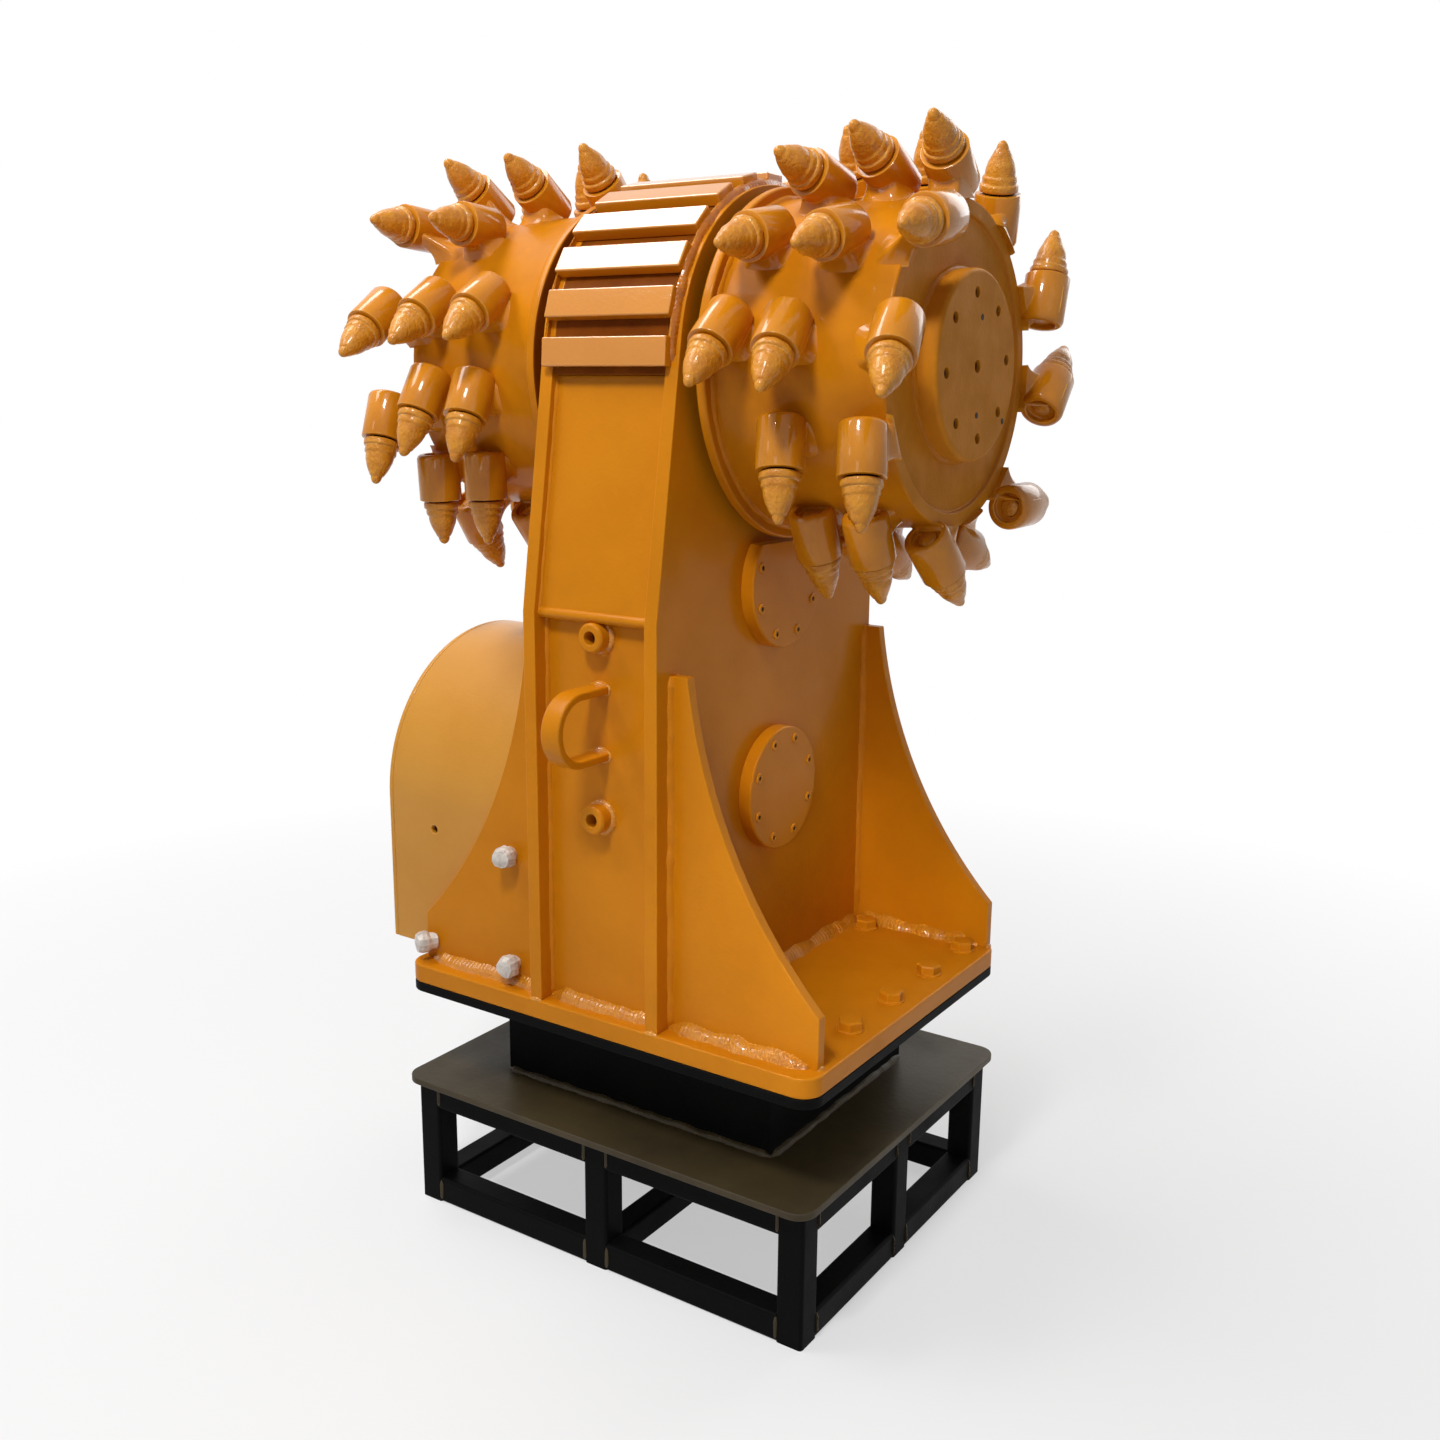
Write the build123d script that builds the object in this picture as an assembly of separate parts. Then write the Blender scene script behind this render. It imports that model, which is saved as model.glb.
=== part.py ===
"""Excavator milling head with two pick drums, standing on its black shop stand.

Frame: X along the drum axis, -Y to the narrow front with the oil ports, +Z up,
origin on the floor under the middle of the stand. All sizes are millimetres.
"""
import os
from math import acos, atan2, cos, hypot, radians, sin

from build123d import *

# Stand of square tube with a top plate
STAND_LENGTH = 680.0
STAND_DEPTH = 557.0
STAND_HEIGHT = 205.0
TUBE_SIZE = 40.0
TUBE_EDGE_RADIUS = 5.0
TOP_PLATE_LENGTH = 706.0
TOP_PLATE_DEPTH = 593.0
TOP_PLATE_THICKNESS = 10.0
TOP_PLATE_CORNER_RADIUS = 28.0

# Pedestal and adapter plate that carry the head
PEDESTAL_LENGTH = 470.0
PEDESTAL_DEPTH = 380.0
PEDESTAL_HEIGHT = 137.0
ADAPTER_THICKNESS = 14.0

# Base flange of the head and its bolt holes
FLANGE_LENGTH = 700.0
FLANGE_DEPTH = 570.0
FLANGE_THICKNESS = 28.0
FLANGE_CORNER_RADIUS = 30.0
FLANGE_HOLE_RADIUS = 11.0
FLANGE_HOLE_X = 312.0
FLANGE_HOLE_PITCH_Y = 119.0
FLANGE_REAR_HOLE_X = 145.0
FLANGE_REAR_HOLE_Y = 236.0

# Column: two side plates closed by panels and an arched sheet
COLUMN_WIDTH = 220.0
COLUMN_DEPTH = 562.0
SIDE_PLATE_THICKNESS = 20.0
KNEE_HEIGHT = 547.0
AXIS_HEIGHT = 867.0
ARCH_RADIUS = 232.0
ARCH_SHEET_THICKNESS = 16.0
ARCH_SHEET_DROP = 14.0
LOWER_PANEL_THICKNESS = 16.0
LOWER_PANEL_RECESS = 26.0
UPPER_PANEL_THICKNESS = 20.0
UPPER_PANEL_RECESS = 12.0

# Wear bars over the arch
WEAR_BAR_COUNT = 13
WEAR_BAR_FIRST_ANGLE = 3.4
WEAR_BAR_WIDTH = 37.0
WEAR_BAR_LENGTH = 198.0
WEAR_BAR_HEIGHT = 16.0

# Gussets between the side plates and the flange
GUSSET_THICKNESS = 16.0
GUSSET_FRONT_FACE_Y = -251.0
GUSSET_REAR_FACE_Y = 281.0
GUSSET_REACH = 229.0
GUSSET_TOE_HEIGHT = 69.0
GUSSET_TOP_WIDTH = 26.0
GUSSET_TOP_HEIGHT = 480.0
GUSSET_ARC_REACH = 115.0
GUSSET_ARC_HEIGHT = 216.0

# Round bearing covers of the gear train on the side plates
COVER_RADIUS = 89.0
COVER_THICKNESS = 20.0
COVER_EDGE = 3.0
LOWER_SHAFT_HEIGHT = 281.0
COVER_CLEARANCE = 6.0

# Oil ports and lifting eye on the front panel
PORT_OUTER_RADIUS = 20.0
PORT_BORE_RADIUS = 9.0
PORT_LENGTH = 23.0
PORT_EDGE = 3.0
PORT_UPPER_HEIGHT = 521.0
PORT_LOWER_HEIGHT = 276.0
EYE_HEIGHT = 406.0
EYE_BEND_RADIUS = 45.0
EYE_LEG_LENGTH = 55.0
EYE_BAR_THICKNESS = 11.0
EYE_BAR_WIDTH = 30.0

# Capped hose unions on the left front gusset
UNION_RADIUS = 16.0
UNION_NECK_RADIUS = 11.0
UNION_NECK_LENGTH = 8.0
UNION_CAP_LENGTH = 18.0
# Columns: distance left of the column face, height over the flange top
UNION_PLACES = [(57.0, 192.0), (55.0, 28.0), (214.0, 28.0)]

# Motor guard on the left side, with the motor inside
GUARD_LENGTH = 315.0
GUARD_THICKNESS = 8.0
GUARD_AXIS_HEIGHT = 235.0
GUARD_FOOT_HEIGHT = 10.0
GUARD_HOLE_RADIUS = 6.0
GUARD_HOLE_FROM_END = 92.0
GUARD_HOLE_HEIGHT = 195.0
MOTOR_RADIUS = 120.0
MOTOR_LENGTH = 270.0

# Gear train inside the column, one plain block
GEAR_BLOCK_DEPTH = 360.0
GEAR_BLOCK_CLEARANCE = 26.0

# Drum shaft and drums
SHAFT_RADIUS = 75.0
SHAFT_CLEARANCE = 0.3
DRUM_GAP = 19.0
DRUM_FLANGE_RADIUS = 228.0
DRUM_FLANGE_THICKNESS = 14.0
DRUM_LENGTH = 233.0
DRUM_ROOT_RADIUS = 212.0
DRUM_RIM_RADIUS = 202.0
DRUM_WALL = 20.0
DRUM_END_RECESS = 6.0
END_COVER_RADIUS = 118.0
END_COVER_STAND_OFF = 24.0
END_COVER_HOLE_COUNT = 8
END_COVER_HOLE_RADIUS = 7.0
END_COVER_HOLE_CIRCLE = 89.0
END_COVER_HOLE_DEPTH = 15.0
END_COVER_HOLE_ANGLE = 6.0
END_COVER_EDGE = 6.0
END_COVER_CENTRE_RADIUS = 8.0

# Pick holders and picks
TIP_RADIUS = 305.0
ATTACK_ANGLE = 53.0
SLEEVE_RADIUS = 30.0
SLEEVE_LENGTH = 65.0
SLEEVE_EDGE = 2.0
SLEEVE_BORE_RADIUS = 13.0
SLEEVE_SEAT_RADIUS = 21.0
SLEEVE_SEAT_DEPTH = 10.0
FOOT_FRONT = 8.0
FOOT_FRONT_WIDTH = 36.0
FOOT_BACK = 64.0
FOOT_BACK_WIDTH = 44.0
FOOT_DEPTH = 110.0
FOOT_SEAT_DEPTH = 60.0
END_FOOT_OVERLAP = 22.0
SHANK_RADIUS = 12.7
SHANK_LENGTH = 40.0
NECK_RADIUS = 18.0
COLLAR_RADIUS = 25.0
COLLAR_START = 3.0
COLLAR_END = 12.0
WAIST_RADIUS = 19.6
WAIST_AT = 22.0
BELLY_RADIUS = 20.5
BELLY_AT = 30.0
TIP_START_RADIUS = 13.0
TIP_START = 48.0
TIP_END_RADIUS = 2.0
TIP_LENGTH = 65.0
# Distance of each pick row from the column's middle plane, and the step that shifts a pick off its row
INNER_ROW = 190.0
MIDDLE_ROW = 290.0
END_ROW = 400.0
ROW_STEP = 5.0
# Columns: inner, middle and end pick, each with its tip angle from the front towards the top, its steps
# and the angle that it leans away from the column
RIGHT_PICKS = [
    ((-5, -4, 0), (-6, -4, 8), (-7, 5, 12)),
    ((26, 0, -2), (25, 1, -1), (28, 5, 4)),
    ((54, 4, -8), (66, -2, -5), (70, -5, 7)),
    ((95, 0, 0), (103, -2, 0), (112, -6, 10)),
    ((130, -2, 0), (138, 0, 0), (143, -1, 0)),
    ((170, -4, 0), (171, -2, 0), (174, -1, -3)),
    ((205, 0, 0), (208, 0, 0), (216, 0, 0)),
    ((240, 1, 0), (249, -6, 0), (240, -8, 6)),
    ((283, 9, 0), (282, 4, 0), (265, -4, 6)),
    (None, (322, -6, 8), (321, -6, 8)),
]
LEFT_PICKS = [
    ((6, 5, -6), (5, 5, -4), (2, 2, -4)),
    (None, (39, 2, -3), (40, 3, -2)),
    ((82, 1, 0), (70, -2, -1), (71, 0, 3)),
    ((112, 3, 0), (103, -1, 0), (104, -1, 0)),
    ((142, 0, 0), (136, 2, 0), (137, 2, 0)),
    ((171, 2, 0), (169, 4, 0), (168, 0, 0)),
    ((204, 5, 0), (202, 1, 0), (201, -2, 0)),
    (None, (236, -1, 0), (234, 0, 0)),
    ((258, 1, 0), (268, -2, 0), (274, -4, 0)),
    (None, (305, -5, 0), (303, -8, 0)),
    ((335, 8, -6), (336, 7, 0), (327, 1, -4)),
]

# Heights and planes worked out from the sizes above
STAND_PLATE_BOTTOM = STAND_HEIGHT - TOP_PLATE_THICKNESS
PEDESTAL_TOP = STAND_HEIGHT + PEDESTAL_HEIGHT
FLANGE_BOTTOM = PEDESTAL_TOP + ADAPTER_THICKNESS
FLANGE_TOP = FLANGE_BOTTOM + FLANGE_THICKNESS
COLUMN_FACE = COLUMN_WIDTH / 2
PLATE_INSIDE = COLUMN_FACE - SIDE_PLATE_THICKNESS
COLUMN_EDGE = COLUMN_DEPTH / 2
KNEE_Z = FLANGE_TOP + KNEE_HEIGHT
AXIS_Z = FLANGE_TOP + AXIS_HEIGHT
MIDDLE_SHAFT_HEIGHT = (LOWER_SHAFT_HEIGHT + AXIS_HEIGHT) / 2
DRUM_START = COLUMN_FACE + DRUM_GAP
SHELL_START = DRUM_START + DRUM_FLANGE_THICKNESS
SHELL_END = SHELL_START + DRUM_LENGTH
GUARD_HALF_WIDTH = -(GUSSET_FRONT_FACE_Y + GUSSET_THICKNESS)

parts = {}


def box_between(low, high):
    """Box from its lowest to its highest corner."""
    size = [b - a for a, b in zip(low, high)]
    middle = [(a + b) / 2 for a, b in zip(low, high)]
    return Pos(*middle) * Box(*size)


def rounded_plate(length, depth, radius, bottom, thickness):
    """Flat plate with rounded corners, lying level."""
    return Pos(0, 0, bottom) * extrude(RectangleRounded(length, depth, radius), amount=thickness)


def tube(low, high):
    """Square tube between two corners, its long edges rounded."""
    spans = [b - a for a, b in zip(low, high)]
    longest = [Axis.X, Axis.Y, Axis.Z][spans.index(max(spans))]
    bar = box_between(low, high)
    return fillet(bar.edges().filter_by(longest), TUBE_EDGE_RADIUS)


def stand():
    """Legs, rails and top plate of the stand, with the pedestal and adapter plate on it."""
    end_x = STAND_LENGTH / 2
    end_y = STAND_DEPTH / 2
    half = TUBE_SIZE / 2
    leg_x = end_x - half
    leg_y = end_y - half

    def leg(x, y):
        return tube((x - half, y - half, 0), (x + half, y + half, STAND_PLATE_BOTTOM))

    parts["stand_corner_legs"] = [leg(x, y) for x in (-leg_x, leg_x) for y in (-leg_y, leg_y)]
    parts["stand_middle_legs"] = [leg(*place) for place in ((0, -leg_y), (0, leg_y), (-leg_x, 0), (leg_x, 0))]

    def rails(bottom):
        made = []
        for side in (-1, 1):
            for x0, x1 in ((half - leg_x, -half), (half, leg_x - half)):
                y = side * leg_y
                made.append(tube((x0, y - half, bottom), (x1, y + half, bottom + TUBE_SIZE)))
            for y0, y1 in ((half - leg_y, -half), (half, leg_y - half)):
                x = side * leg_x
                made.append(tube((x - half, y0, bottom), (x + half, y1, bottom + TUBE_SIZE)))
        return made

    parts["stand_floor_rails"] = rails(0)
    parts["stand_top_rails"] = rails(STAND_PLATE_BOTTOM - TUBE_SIZE)
    cross_end = leg_y - half
    parts["stand_cross_rail"] = [tube((-half, -cross_end, 0), (half, cross_end, TUBE_SIZE))]
    parts["stand_top_plate"] = [rounded_plate(
        TOP_PLATE_LENGTH, TOP_PLATE_DEPTH, TOP_PLATE_CORNER_RADIUS, STAND_PLATE_BOTTOM, TOP_PLATE_THICKNESS)]
    parts["pedestal"] = [box_between(
        (-PEDESTAL_LENGTH / 2, -PEDESTAL_DEPTH / 2, STAND_HEIGHT),
        (PEDESTAL_LENGTH / 2, PEDESTAL_DEPTH / 2, PEDESTAL_TOP))]


def flange_holes():
    """Bolt holes through the base flange and the adapter plate under it."""
    places = [(side * FLANGE_HOLE_X, row * FLANGE_HOLE_PITCH_Y) for side in (-1, 1) for row in (-1, 0, 1)]
    places += [(side * x, FLANGE_REAR_HOLE_Y) for side in (-1, 1) for x in (FLANGE_REAR_HOLE_X, FLANGE_HOLE_X)]
    depth = ADAPTER_THICKNESS + FLANGE_THICKNESS
    middle = PEDESTAL_TOP + depth / 2
    return [Pos(x, y, middle) * Cylinder(FLANGE_HOLE_RADIUS, depth) for x, y in places]


def base():
    """Adapter plate and the head's base flange, drilled together."""
    holes = flange_holes()
    outline = (FLANGE_LENGTH, FLANGE_DEPTH, FLANGE_CORNER_RADIUS)
    parts["adapter_plate"] = [rounded_plate(*outline, PEDESTAL_TOP, ADAPTER_THICKNESS) - holes]
    parts["base_flange"] = [rounded_plate(*outline, FLANGE_BOTTOM, FLANGE_THICKNESS) - holes]


def edge_tangent():
    """Point (y, z) where the rear plate edge that rises from the knee meets the arch."""
    across = COLUMN_EDGE
    down = KNEE_Z - AXIS_Z
    angle = atan2(down, across) + acos(ARCH_RADIUS / hypot(across, down))
    return ARCH_RADIUS * cos(angle), AXIS_Z + ARCH_RADIUS * sin(angle)


def column_face():
    """Outline of a side plate in the YZ plane."""
    tangent_y, tangent_z = edge_tangent()
    sides = Polyline(
        (-tangent_y, tangent_z),
        (-COLUMN_EDGE, KNEE_Z),
        (-COLUMN_EDGE, FLANGE_TOP),
        (COLUMN_EDGE, FLANGE_TOP),
        (COLUMN_EDGE, KNEE_Z),
        (tangent_y, tangent_z),
    )
    arch = ThreePointArc((tangent_y, tangent_z), (0, AXIS_Z + ARCH_RADIUS), (-tangent_y, tangent_z))
    return make_face(sides.edges() + arch.edges())


def prism_x(face, x0, x1):
    """Solid of a face drawn in the YZ plane, between two X planes."""
    return Pos(x0, 0, 0) * extrude(Plane.YZ * face, amount=x1 - x0)


def cylinder_x(radius, x0, x1, z, y=0.0):
    """Cylinder along X between two planes."""
    return Pos((x0 + x1) / 2, y, z) * Rot(0, 90, 0) * Cylinder(radius, x1 - x0)


def panel_face(side, recess, thickness, bottom, top):
    """Section of a panel that follows the plate edge on one side, in the YZ plane."""
    tangent_y, tangent_z = edge_tangent()
    slope = (COLUMN_EDGE - tangent_y) / (tangent_z - KNEE_Z)

    def edge(z):
        return COLUMN_EDGE - max(0.0, z - KNEE_Z) * slope - recess

    corners = [
        (side * edge(bottom), bottom),
        (side * edge(top), top),
        (side * (edge(top) - thickness), top),
        (side * (edge(bottom) - thickness), bottom),
    ]
    return make_face(Polyline(*corners, close=True).edges())


def column():
    """Side plates, panels, arched sheet and wear bars of the column."""
    face = column_face()
    whole = prism_x(face, -COLUMN_FACE, COLUMN_FACE)
    bore = cylinder_x(SHAFT_RADIUS + SHAFT_CLEARANCE, -COLUMN_FACE, COLUMN_FACE, AXIS_Z)
    parts["side_plate_left"] = [prism_x(face, -COLUMN_FACE, -PLATE_INSIDE) - bore]
    parts["side_plate_right"] = [prism_x(face, PLATE_INSIDE, COLUMN_FACE) - bore]

    arch_start = AXIS_Z - ARCH_SHEET_DROP
    for name, side in (("front", -1), ("rear", 1)):
        lower = panel_face(side, LOWER_PANEL_RECESS, LOWER_PANEL_THICKNESS, FLANGE_TOP, KNEE_Z)
        upper = panel_face(side, UPPER_PANEL_RECESS, UPPER_PANEL_THICKNESS, KNEE_Z, arch_start)
        parts[name + "_panel_lower"] = [prism_x(lower, -PLATE_INSIDE, PLATE_INSIDE)]
        parts[name + "_panel_upper"] = [prism_x(upper, -PLATE_INSIDE, PLATE_INSIDE)]

    inner = cylinder_x(ARCH_RADIUS - ARCH_SHEET_THICKNESS, -PLATE_INSIDE, PLATE_INSIDE, AXIS_Z)
    inner_low = box_between(
        (-PLATE_INSIDE, ARCH_SHEET_THICKNESS - ARCH_RADIUS, arch_start),
        (PLATE_INSIDE, ARCH_RADIUS - ARCH_SHEET_THICKNESS, AXIS_Z))
    below = box_between(
        (-PLATE_INSIDE, -COLUMN_EDGE, FLANGE_TOP), (PLATE_INSIDE, COLUMN_EDGE, arch_start))
    parts["arch_sheet"] = [prism_x(face, -PLATE_INSIDE, PLATE_INSIDE) - inner - inner_low - below]

    pitch = (180 - 2 * WEAR_BAR_FIRST_ANGLE) / (WEAR_BAR_COUNT - 1)
    bar = Pos(0, 0, ARCH_RADIUS) * Box(WEAR_BAR_LENGTH, WEAR_BAR_WIDTH, 2 * WEAR_BAR_HEIGHT)
    bars = []
    for index in range(WEAR_BAR_COUNT):
        angle = WEAR_BAR_FIRST_ANGLE + index * pitch
        bars.append(Pos(0, 0, AXIS_Z) * Rot(90 - angle, 0, 0) * bar - whole)
    parts["wear_bars"] = bars


def gusset(side, outer_y):
    """Curved gusset between a side plate and the flange, its front face at outer_y or reaching to it."""
    foot = COLUMN_FACE + GUSSET_REACH
    toe = (foot, FLANGE_TOP + GUSSET_TOE_HEIGHT)
    neck = (COLUMN_FACE + GUSSET_TOP_WIDTH, FLANGE_TOP + GUSSET_TOP_HEIGHT)
    bend = (COLUMN_FACE + GUSSET_ARC_REACH, FLANGE_TOP + GUSSET_ARC_HEIGHT)
    straight = Polyline(
        neck, (COLUMN_FACE, neck[1]), (COLUMN_FACE, FLANGE_TOP), (foot, FLANGE_TOP), toe)
    curve = ThreePointArc(toe, bend, neck)
    plate = extrude(Plane.XZ * make_face(straight.edges() + curve.edges()), amount=-GUSSET_THICKNESS)
    if side < 0:
        plate = mirror(plate, about=Plane.YZ)
    return Pos(0, outer_y, 0) * plate


def gussets():
    """Four gussets, the front pair set back from the flange edge."""
    rear_start = GUSSET_REAR_FACE_Y - GUSSET_THICKNESS
    for name, side in (("left", -1), ("right", 1)):
        parts["gusset_front_" + name] = [gusset(side, GUSSET_FRONT_FACE_Y)]
        parts["gusset_rear_" + name] = [gusset(side, rear_start)]


def bearing_cover(side, height):
    """Round bearing cover with a rounded rim, clear of the drum flange above it and the motor guard below."""
    z = FLANGE_TOP + height
    disc = Cylinder(COVER_RADIUS, COVER_THICKNESS)
    disc = fillet(disc.edges().sort_by(Axis.Z)[-1], COVER_EDGE)
    middle = side * (COLUMN_FACE + COVER_THICKNESS / 2)
    placed = Pos(middle, 0, z) * Rot(0, side * 90, 0) * disc
    limit = AXIS_Z - DRUM_FLANGE_RADIUS - COVER_CLEARANCE
    top = z + COVER_RADIUS
    if top > limit:
        far = side * (COLUMN_FACE + COVER_THICKNESS)
        low = (min(side * COLUMN_FACE, far), -COVER_RADIUS, limit)
        high = (max(side * COLUMN_FACE, far), COVER_RADIUS, top)
        placed -= box_between(low, high)
    if side < 0:
        guard = guard_face(GUARD_HALF_WIDTH + COVER_CLEARANCE)
        placed -= prism_x(guard, -COLUMN_FACE - COVER_THICKNESS, -COLUMN_FACE)
    return placed


def covers():
    """Bearing covers on the right plate and the upper one on the left plate."""
    parts["bearing_cover_lower_right"] = [bearing_cover(1, LOWER_SHAFT_HEIGHT)]
    parts["bearing_cover_upper_right"] = [bearing_cover(1, MIDDLE_SHAFT_HEIGHT)]
    parts["bearing_cover_upper_left"] = [bearing_cover(-1, MIDDLE_SHAFT_HEIGHT)]


def front_fittings():
    """Oil ports, lifting eye and capped hose unions on the front."""
    panel_y = LOWER_PANEL_RECESS - COLUMN_EDGE
    boss = Cylinder(PORT_OUTER_RADIUS, PORT_LENGTH)
    boss = chamfer(boss.edges().sort_by(Axis.Z)[-1], PORT_EDGE)
    boss -= Cylinder(PORT_BORE_RADIUS, PORT_LENGTH)
    parts["oil_ports"] = [
        Pos(0, panel_y - PORT_LENGTH / 2, FLANGE_TOP + height) * Rot(90, 0, 0) * boss
        for height in (PORT_LOWER_HEIGHT, PORT_UPPER_HEIGHT)
    ]

    outer = EYE_BEND_RADIUS + EYE_BAR_THICKNESS / 2
    inner = EYE_BEND_RADIUS - EYE_BAR_THICKNESS / 2
    bend_y = panel_y - EYE_LEG_LENGTH
    eye_z = FLANGE_TOP + EYE_HEIGHT
    half = EYE_BAR_WIDTH / 2

    def loop(radius):
        legs = box_between((-half, bend_y, eye_z - radius), (half, panel_y, eye_z + radius))
        return legs + cylinder_x(radius, -half, half, eye_z, bend_y)

    parts["lifting_eye"] = [loop(outer) - loop(inner)]

    neck = Pos(0, 0, UNION_NECK_LENGTH / 2) * Cylinder(UNION_NECK_RADIUS, UNION_NECK_LENGTH)
    cap_middle = UNION_NECK_LENGTH + UNION_CAP_LENGTH / 2
    cap = Pos(0, 0, cap_middle) * extrude(RegularPolygon(UNION_RADIUS, 6), UNION_CAP_LENGTH / 2, both=True)
    parts["hose_unions"] = [
        Pos(-COLUMN_FACE - reach, GUSSET_FRONT_FACE_Y, FLANGE_TOP + height) * Rot(90, 0, 0) * (neck + cap)
        for reach, height in UNION_PLACES
    ]


def guard_face(half_width):
    """Outline of the motor guard in the YZ plane: upright walls under a half round."""
    axis_z = FLANGE_TOP + GUARD_AXIS_HEIGHT
    foot_z = FLANGE_TOP + GUARD_FOOT_HEIGHT
    walls = Polyline((-half_width, axis_z), (-half_width, foot_z), (half_width, foot_z), (half_width, axis_z))
    roof = ThreePointArc((half_width, axis_z), (0, axis_z + half_width), (-half_width, axis_z))
    return make_face(walls.edges() + roof.edges())


def motor_side():
    """Motor guard with its end plate, the motor inside it and the gear train in the column."""
    guard_end = -COLUMN_FACE - GUARD_LENGTH
    plate_inside = guard_end + GUARD_THICKNESS
    outline = guard_face(GUARD_HALF_WIDTH)
    shell = prism_x(outline, plate_inside, -COLUMN_FACE)
    shell -= prism_x(guard_face(GUARD_HALF_WIDTH - GUARD_THICKNESS), plate_inside, -COLUMN_FACE)
    hole = Pos(guard_end + GUARD_HOLE_FROM_END, 0, FLANGE_TOP + GUARD_HOLE_HEIGHT) * Rot(90, 0, 0) * Cylinder(
        GUARD_HOLE_RADIUS, 2 * GUARD_HALF_WIDTH)
    parts["motor_guard"] = [shell - hole]
    parts["motor_guard_end"] = [prism_x(outline, guard_end, plate_inside)]
    motor_z = FLANGE_TOP + LOWER_SHAFT_HEIGHT
    parts["hydraulic_motor"] = [cylinder_x(MOTOR_RADIUS, -COLUMN_FACE - MOTOR_LENGTH, -COLUMN_FACE, motor_z)]
    block_top = AXIS_Z - SHAFT_RADIUS - GEAR_BLOCK_CLEARANCE
    parts["gear_train"] = [box_between(
        (-PLATE_INSIDE, -GEAR_BLOCK_DEPTH / 2, FLANGE_TOP), (PLATE_INSIDE, GEAR_BLOCK_DEPTH / 2, block_top))]


def turned(profile):
    """Solid turned about the Z axis from (radius, height) corners."""
    face = make_face(Polyline(*profile, close=True).edges())
    return revolve(Plane.XZ * face, Axis.Z)


def drum_shell():
    """Tapered drum shell with a stepped end, along +Z from the column's middle plane."""
    floor = SHELL_END - DRUM_END_RECESS
    return turned([
        (0, SHELL_START),
        (DRUM_ROOT_RADIUS, SHELL_START),
        (DRUM_RIM_RADIUS, SHELL_END),
        (DRUM_RIM_RADIUS - DRUM_WALL, SHELL_END),
        (DRUM_RIM_RADIUS - DRUM_WALL, floor),
        (0, floor),
    ])


def drum_envelope():
    """The drum's outside with its flange but not its end step, running on past the end picks."""
    far = SHELL_END + DRUM_LENGTH
    return turned([
        (0, DRUM_START),
        (DRUM_FLANGE_RADIUS, DRUM_START),
        (DRUM_FLANGE_RADIUS, SHELL_START),
        (DRUM_ROOT_RADIUS, SHELL_START),
        (DRUM_RIM_RADIUS, SHELL_END),
        (DRUM_RIM_RADIUS, far),
        (0, far),
    ])


def end_cover(side):
    """Round cover on the drum's end, with a circle of blind bolt holes that lines up on both sides."""
    start = SHELL_END - DRUM_END_RECESS
    thickness = DRUM_END_RECESS + END_COVER_STAND_OFF
    disc = Pos(0, 0, start + thickness / 2) * Cylinder(END_COVER_RADIUS, thickness)
    disc = fillet(disc.edges().sort_by(Axis.Z)[-1], END_COVER_EDGE)
    middle = start + thickness - END_COVER_HOLE_DEPTH / 2
    hole = Pos(END_COVER_HOLE_CIRCLE, 0, middle) * Cylinder(END_COVER_HOLE_RADIUS, END_COVER_HOLE_DEPTH)
    centre = Pos(0, 0, middle) * Cylinder(END_COVER_CENTRE_RADIUS, END_COVER_HOLE_DEPTH)
    step = 360 / END_COVER_HOLE_COUNT
    turns = [side * END_COVER_HOLE_ANGLE + index * step for index in range(END_COVER_HOLE_COUNT)]
    return disc - centre - [Rot(0, 0, turn) * hole for turn in turns]


def pick():
    """Round-shank pick along +Z, its sleeve's mouth at zero."""
    return turned([
        (0, -SLEEVE_SEAT_DEPTH - SHANK_LENGTH),
        (SHANK_RADIUS, -SLEEVE_SEAT_DEPTH - SHANK_LENGTH),
        (SHANK_RADIUS, -SLEEVE_SEAT_DEPTH),
        (NECK_RADIUS, -SLEEVE_SEAT_DEPTH),
        (NECK_RADIUS, COLLAR_START),
        (COLLAR_RADIUS, COLLAR_START),
        (COLLAR_RADIUS, COLLAR_END),
        (WAIST_RADIUS, WAIST_AT),
        (BELLY_RADIUS, BELLY_AT),
        (TIP_START_RADIUS, TIP_START),
        (TIP_END_RADIUS, TIP_LENGTH),
        (0, TIP_LENGTH),
    ])


def holder(slide):
    """Sleeve along +Z with its mouth at zero, on a foot towards +X that slides along Y as it goes down."""
    sleeve = Pos(0, 0, -SLEEVE_LENGTH / 2) * Cylinder(SLEEVE_RADIUS, SLEEVE_LENGTH)
    sleeve = chamfer(sleeve.edges().filter_by(GeomType.CIRCLE), SLEEVE_EDGE)
    front = FOOT_FRONT_WIDTH / 2
    back = FOOT_BACK_WIDTH / 2
    plan = Polyline(
        (-front, -FOOT_FRONT), (front, -FOOT_FRONT), (back, -FOOT_BACK), (-back, -FOOT_BACK), close=True)
    reach = FOOT_DEPTH * hypot(FOOT_SEAT_DEPTH, slide) / FOOT_SEAT_DEPTH
    foot = extrude(Plane.YZ * make_face(plan.edges()), amount=reach, dir=(FOOT_SEAT_DEPTH, slide, 0))
    bore = Pos(0, 0, -SLEEVE_LENGTH / 2) * Cylinder(SLEEVE_BORE_RADIUS, SLEEVE_LENGTH)
    seat = Pos(0, 0, -SLEEVE_SEAT_DEPTH / 2) * Cylinder(SLEEVE_SEAT_RADIUS, SLEEVE_SEAT_DEPTH)
    return sleeve + foot - bore - seat


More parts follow.
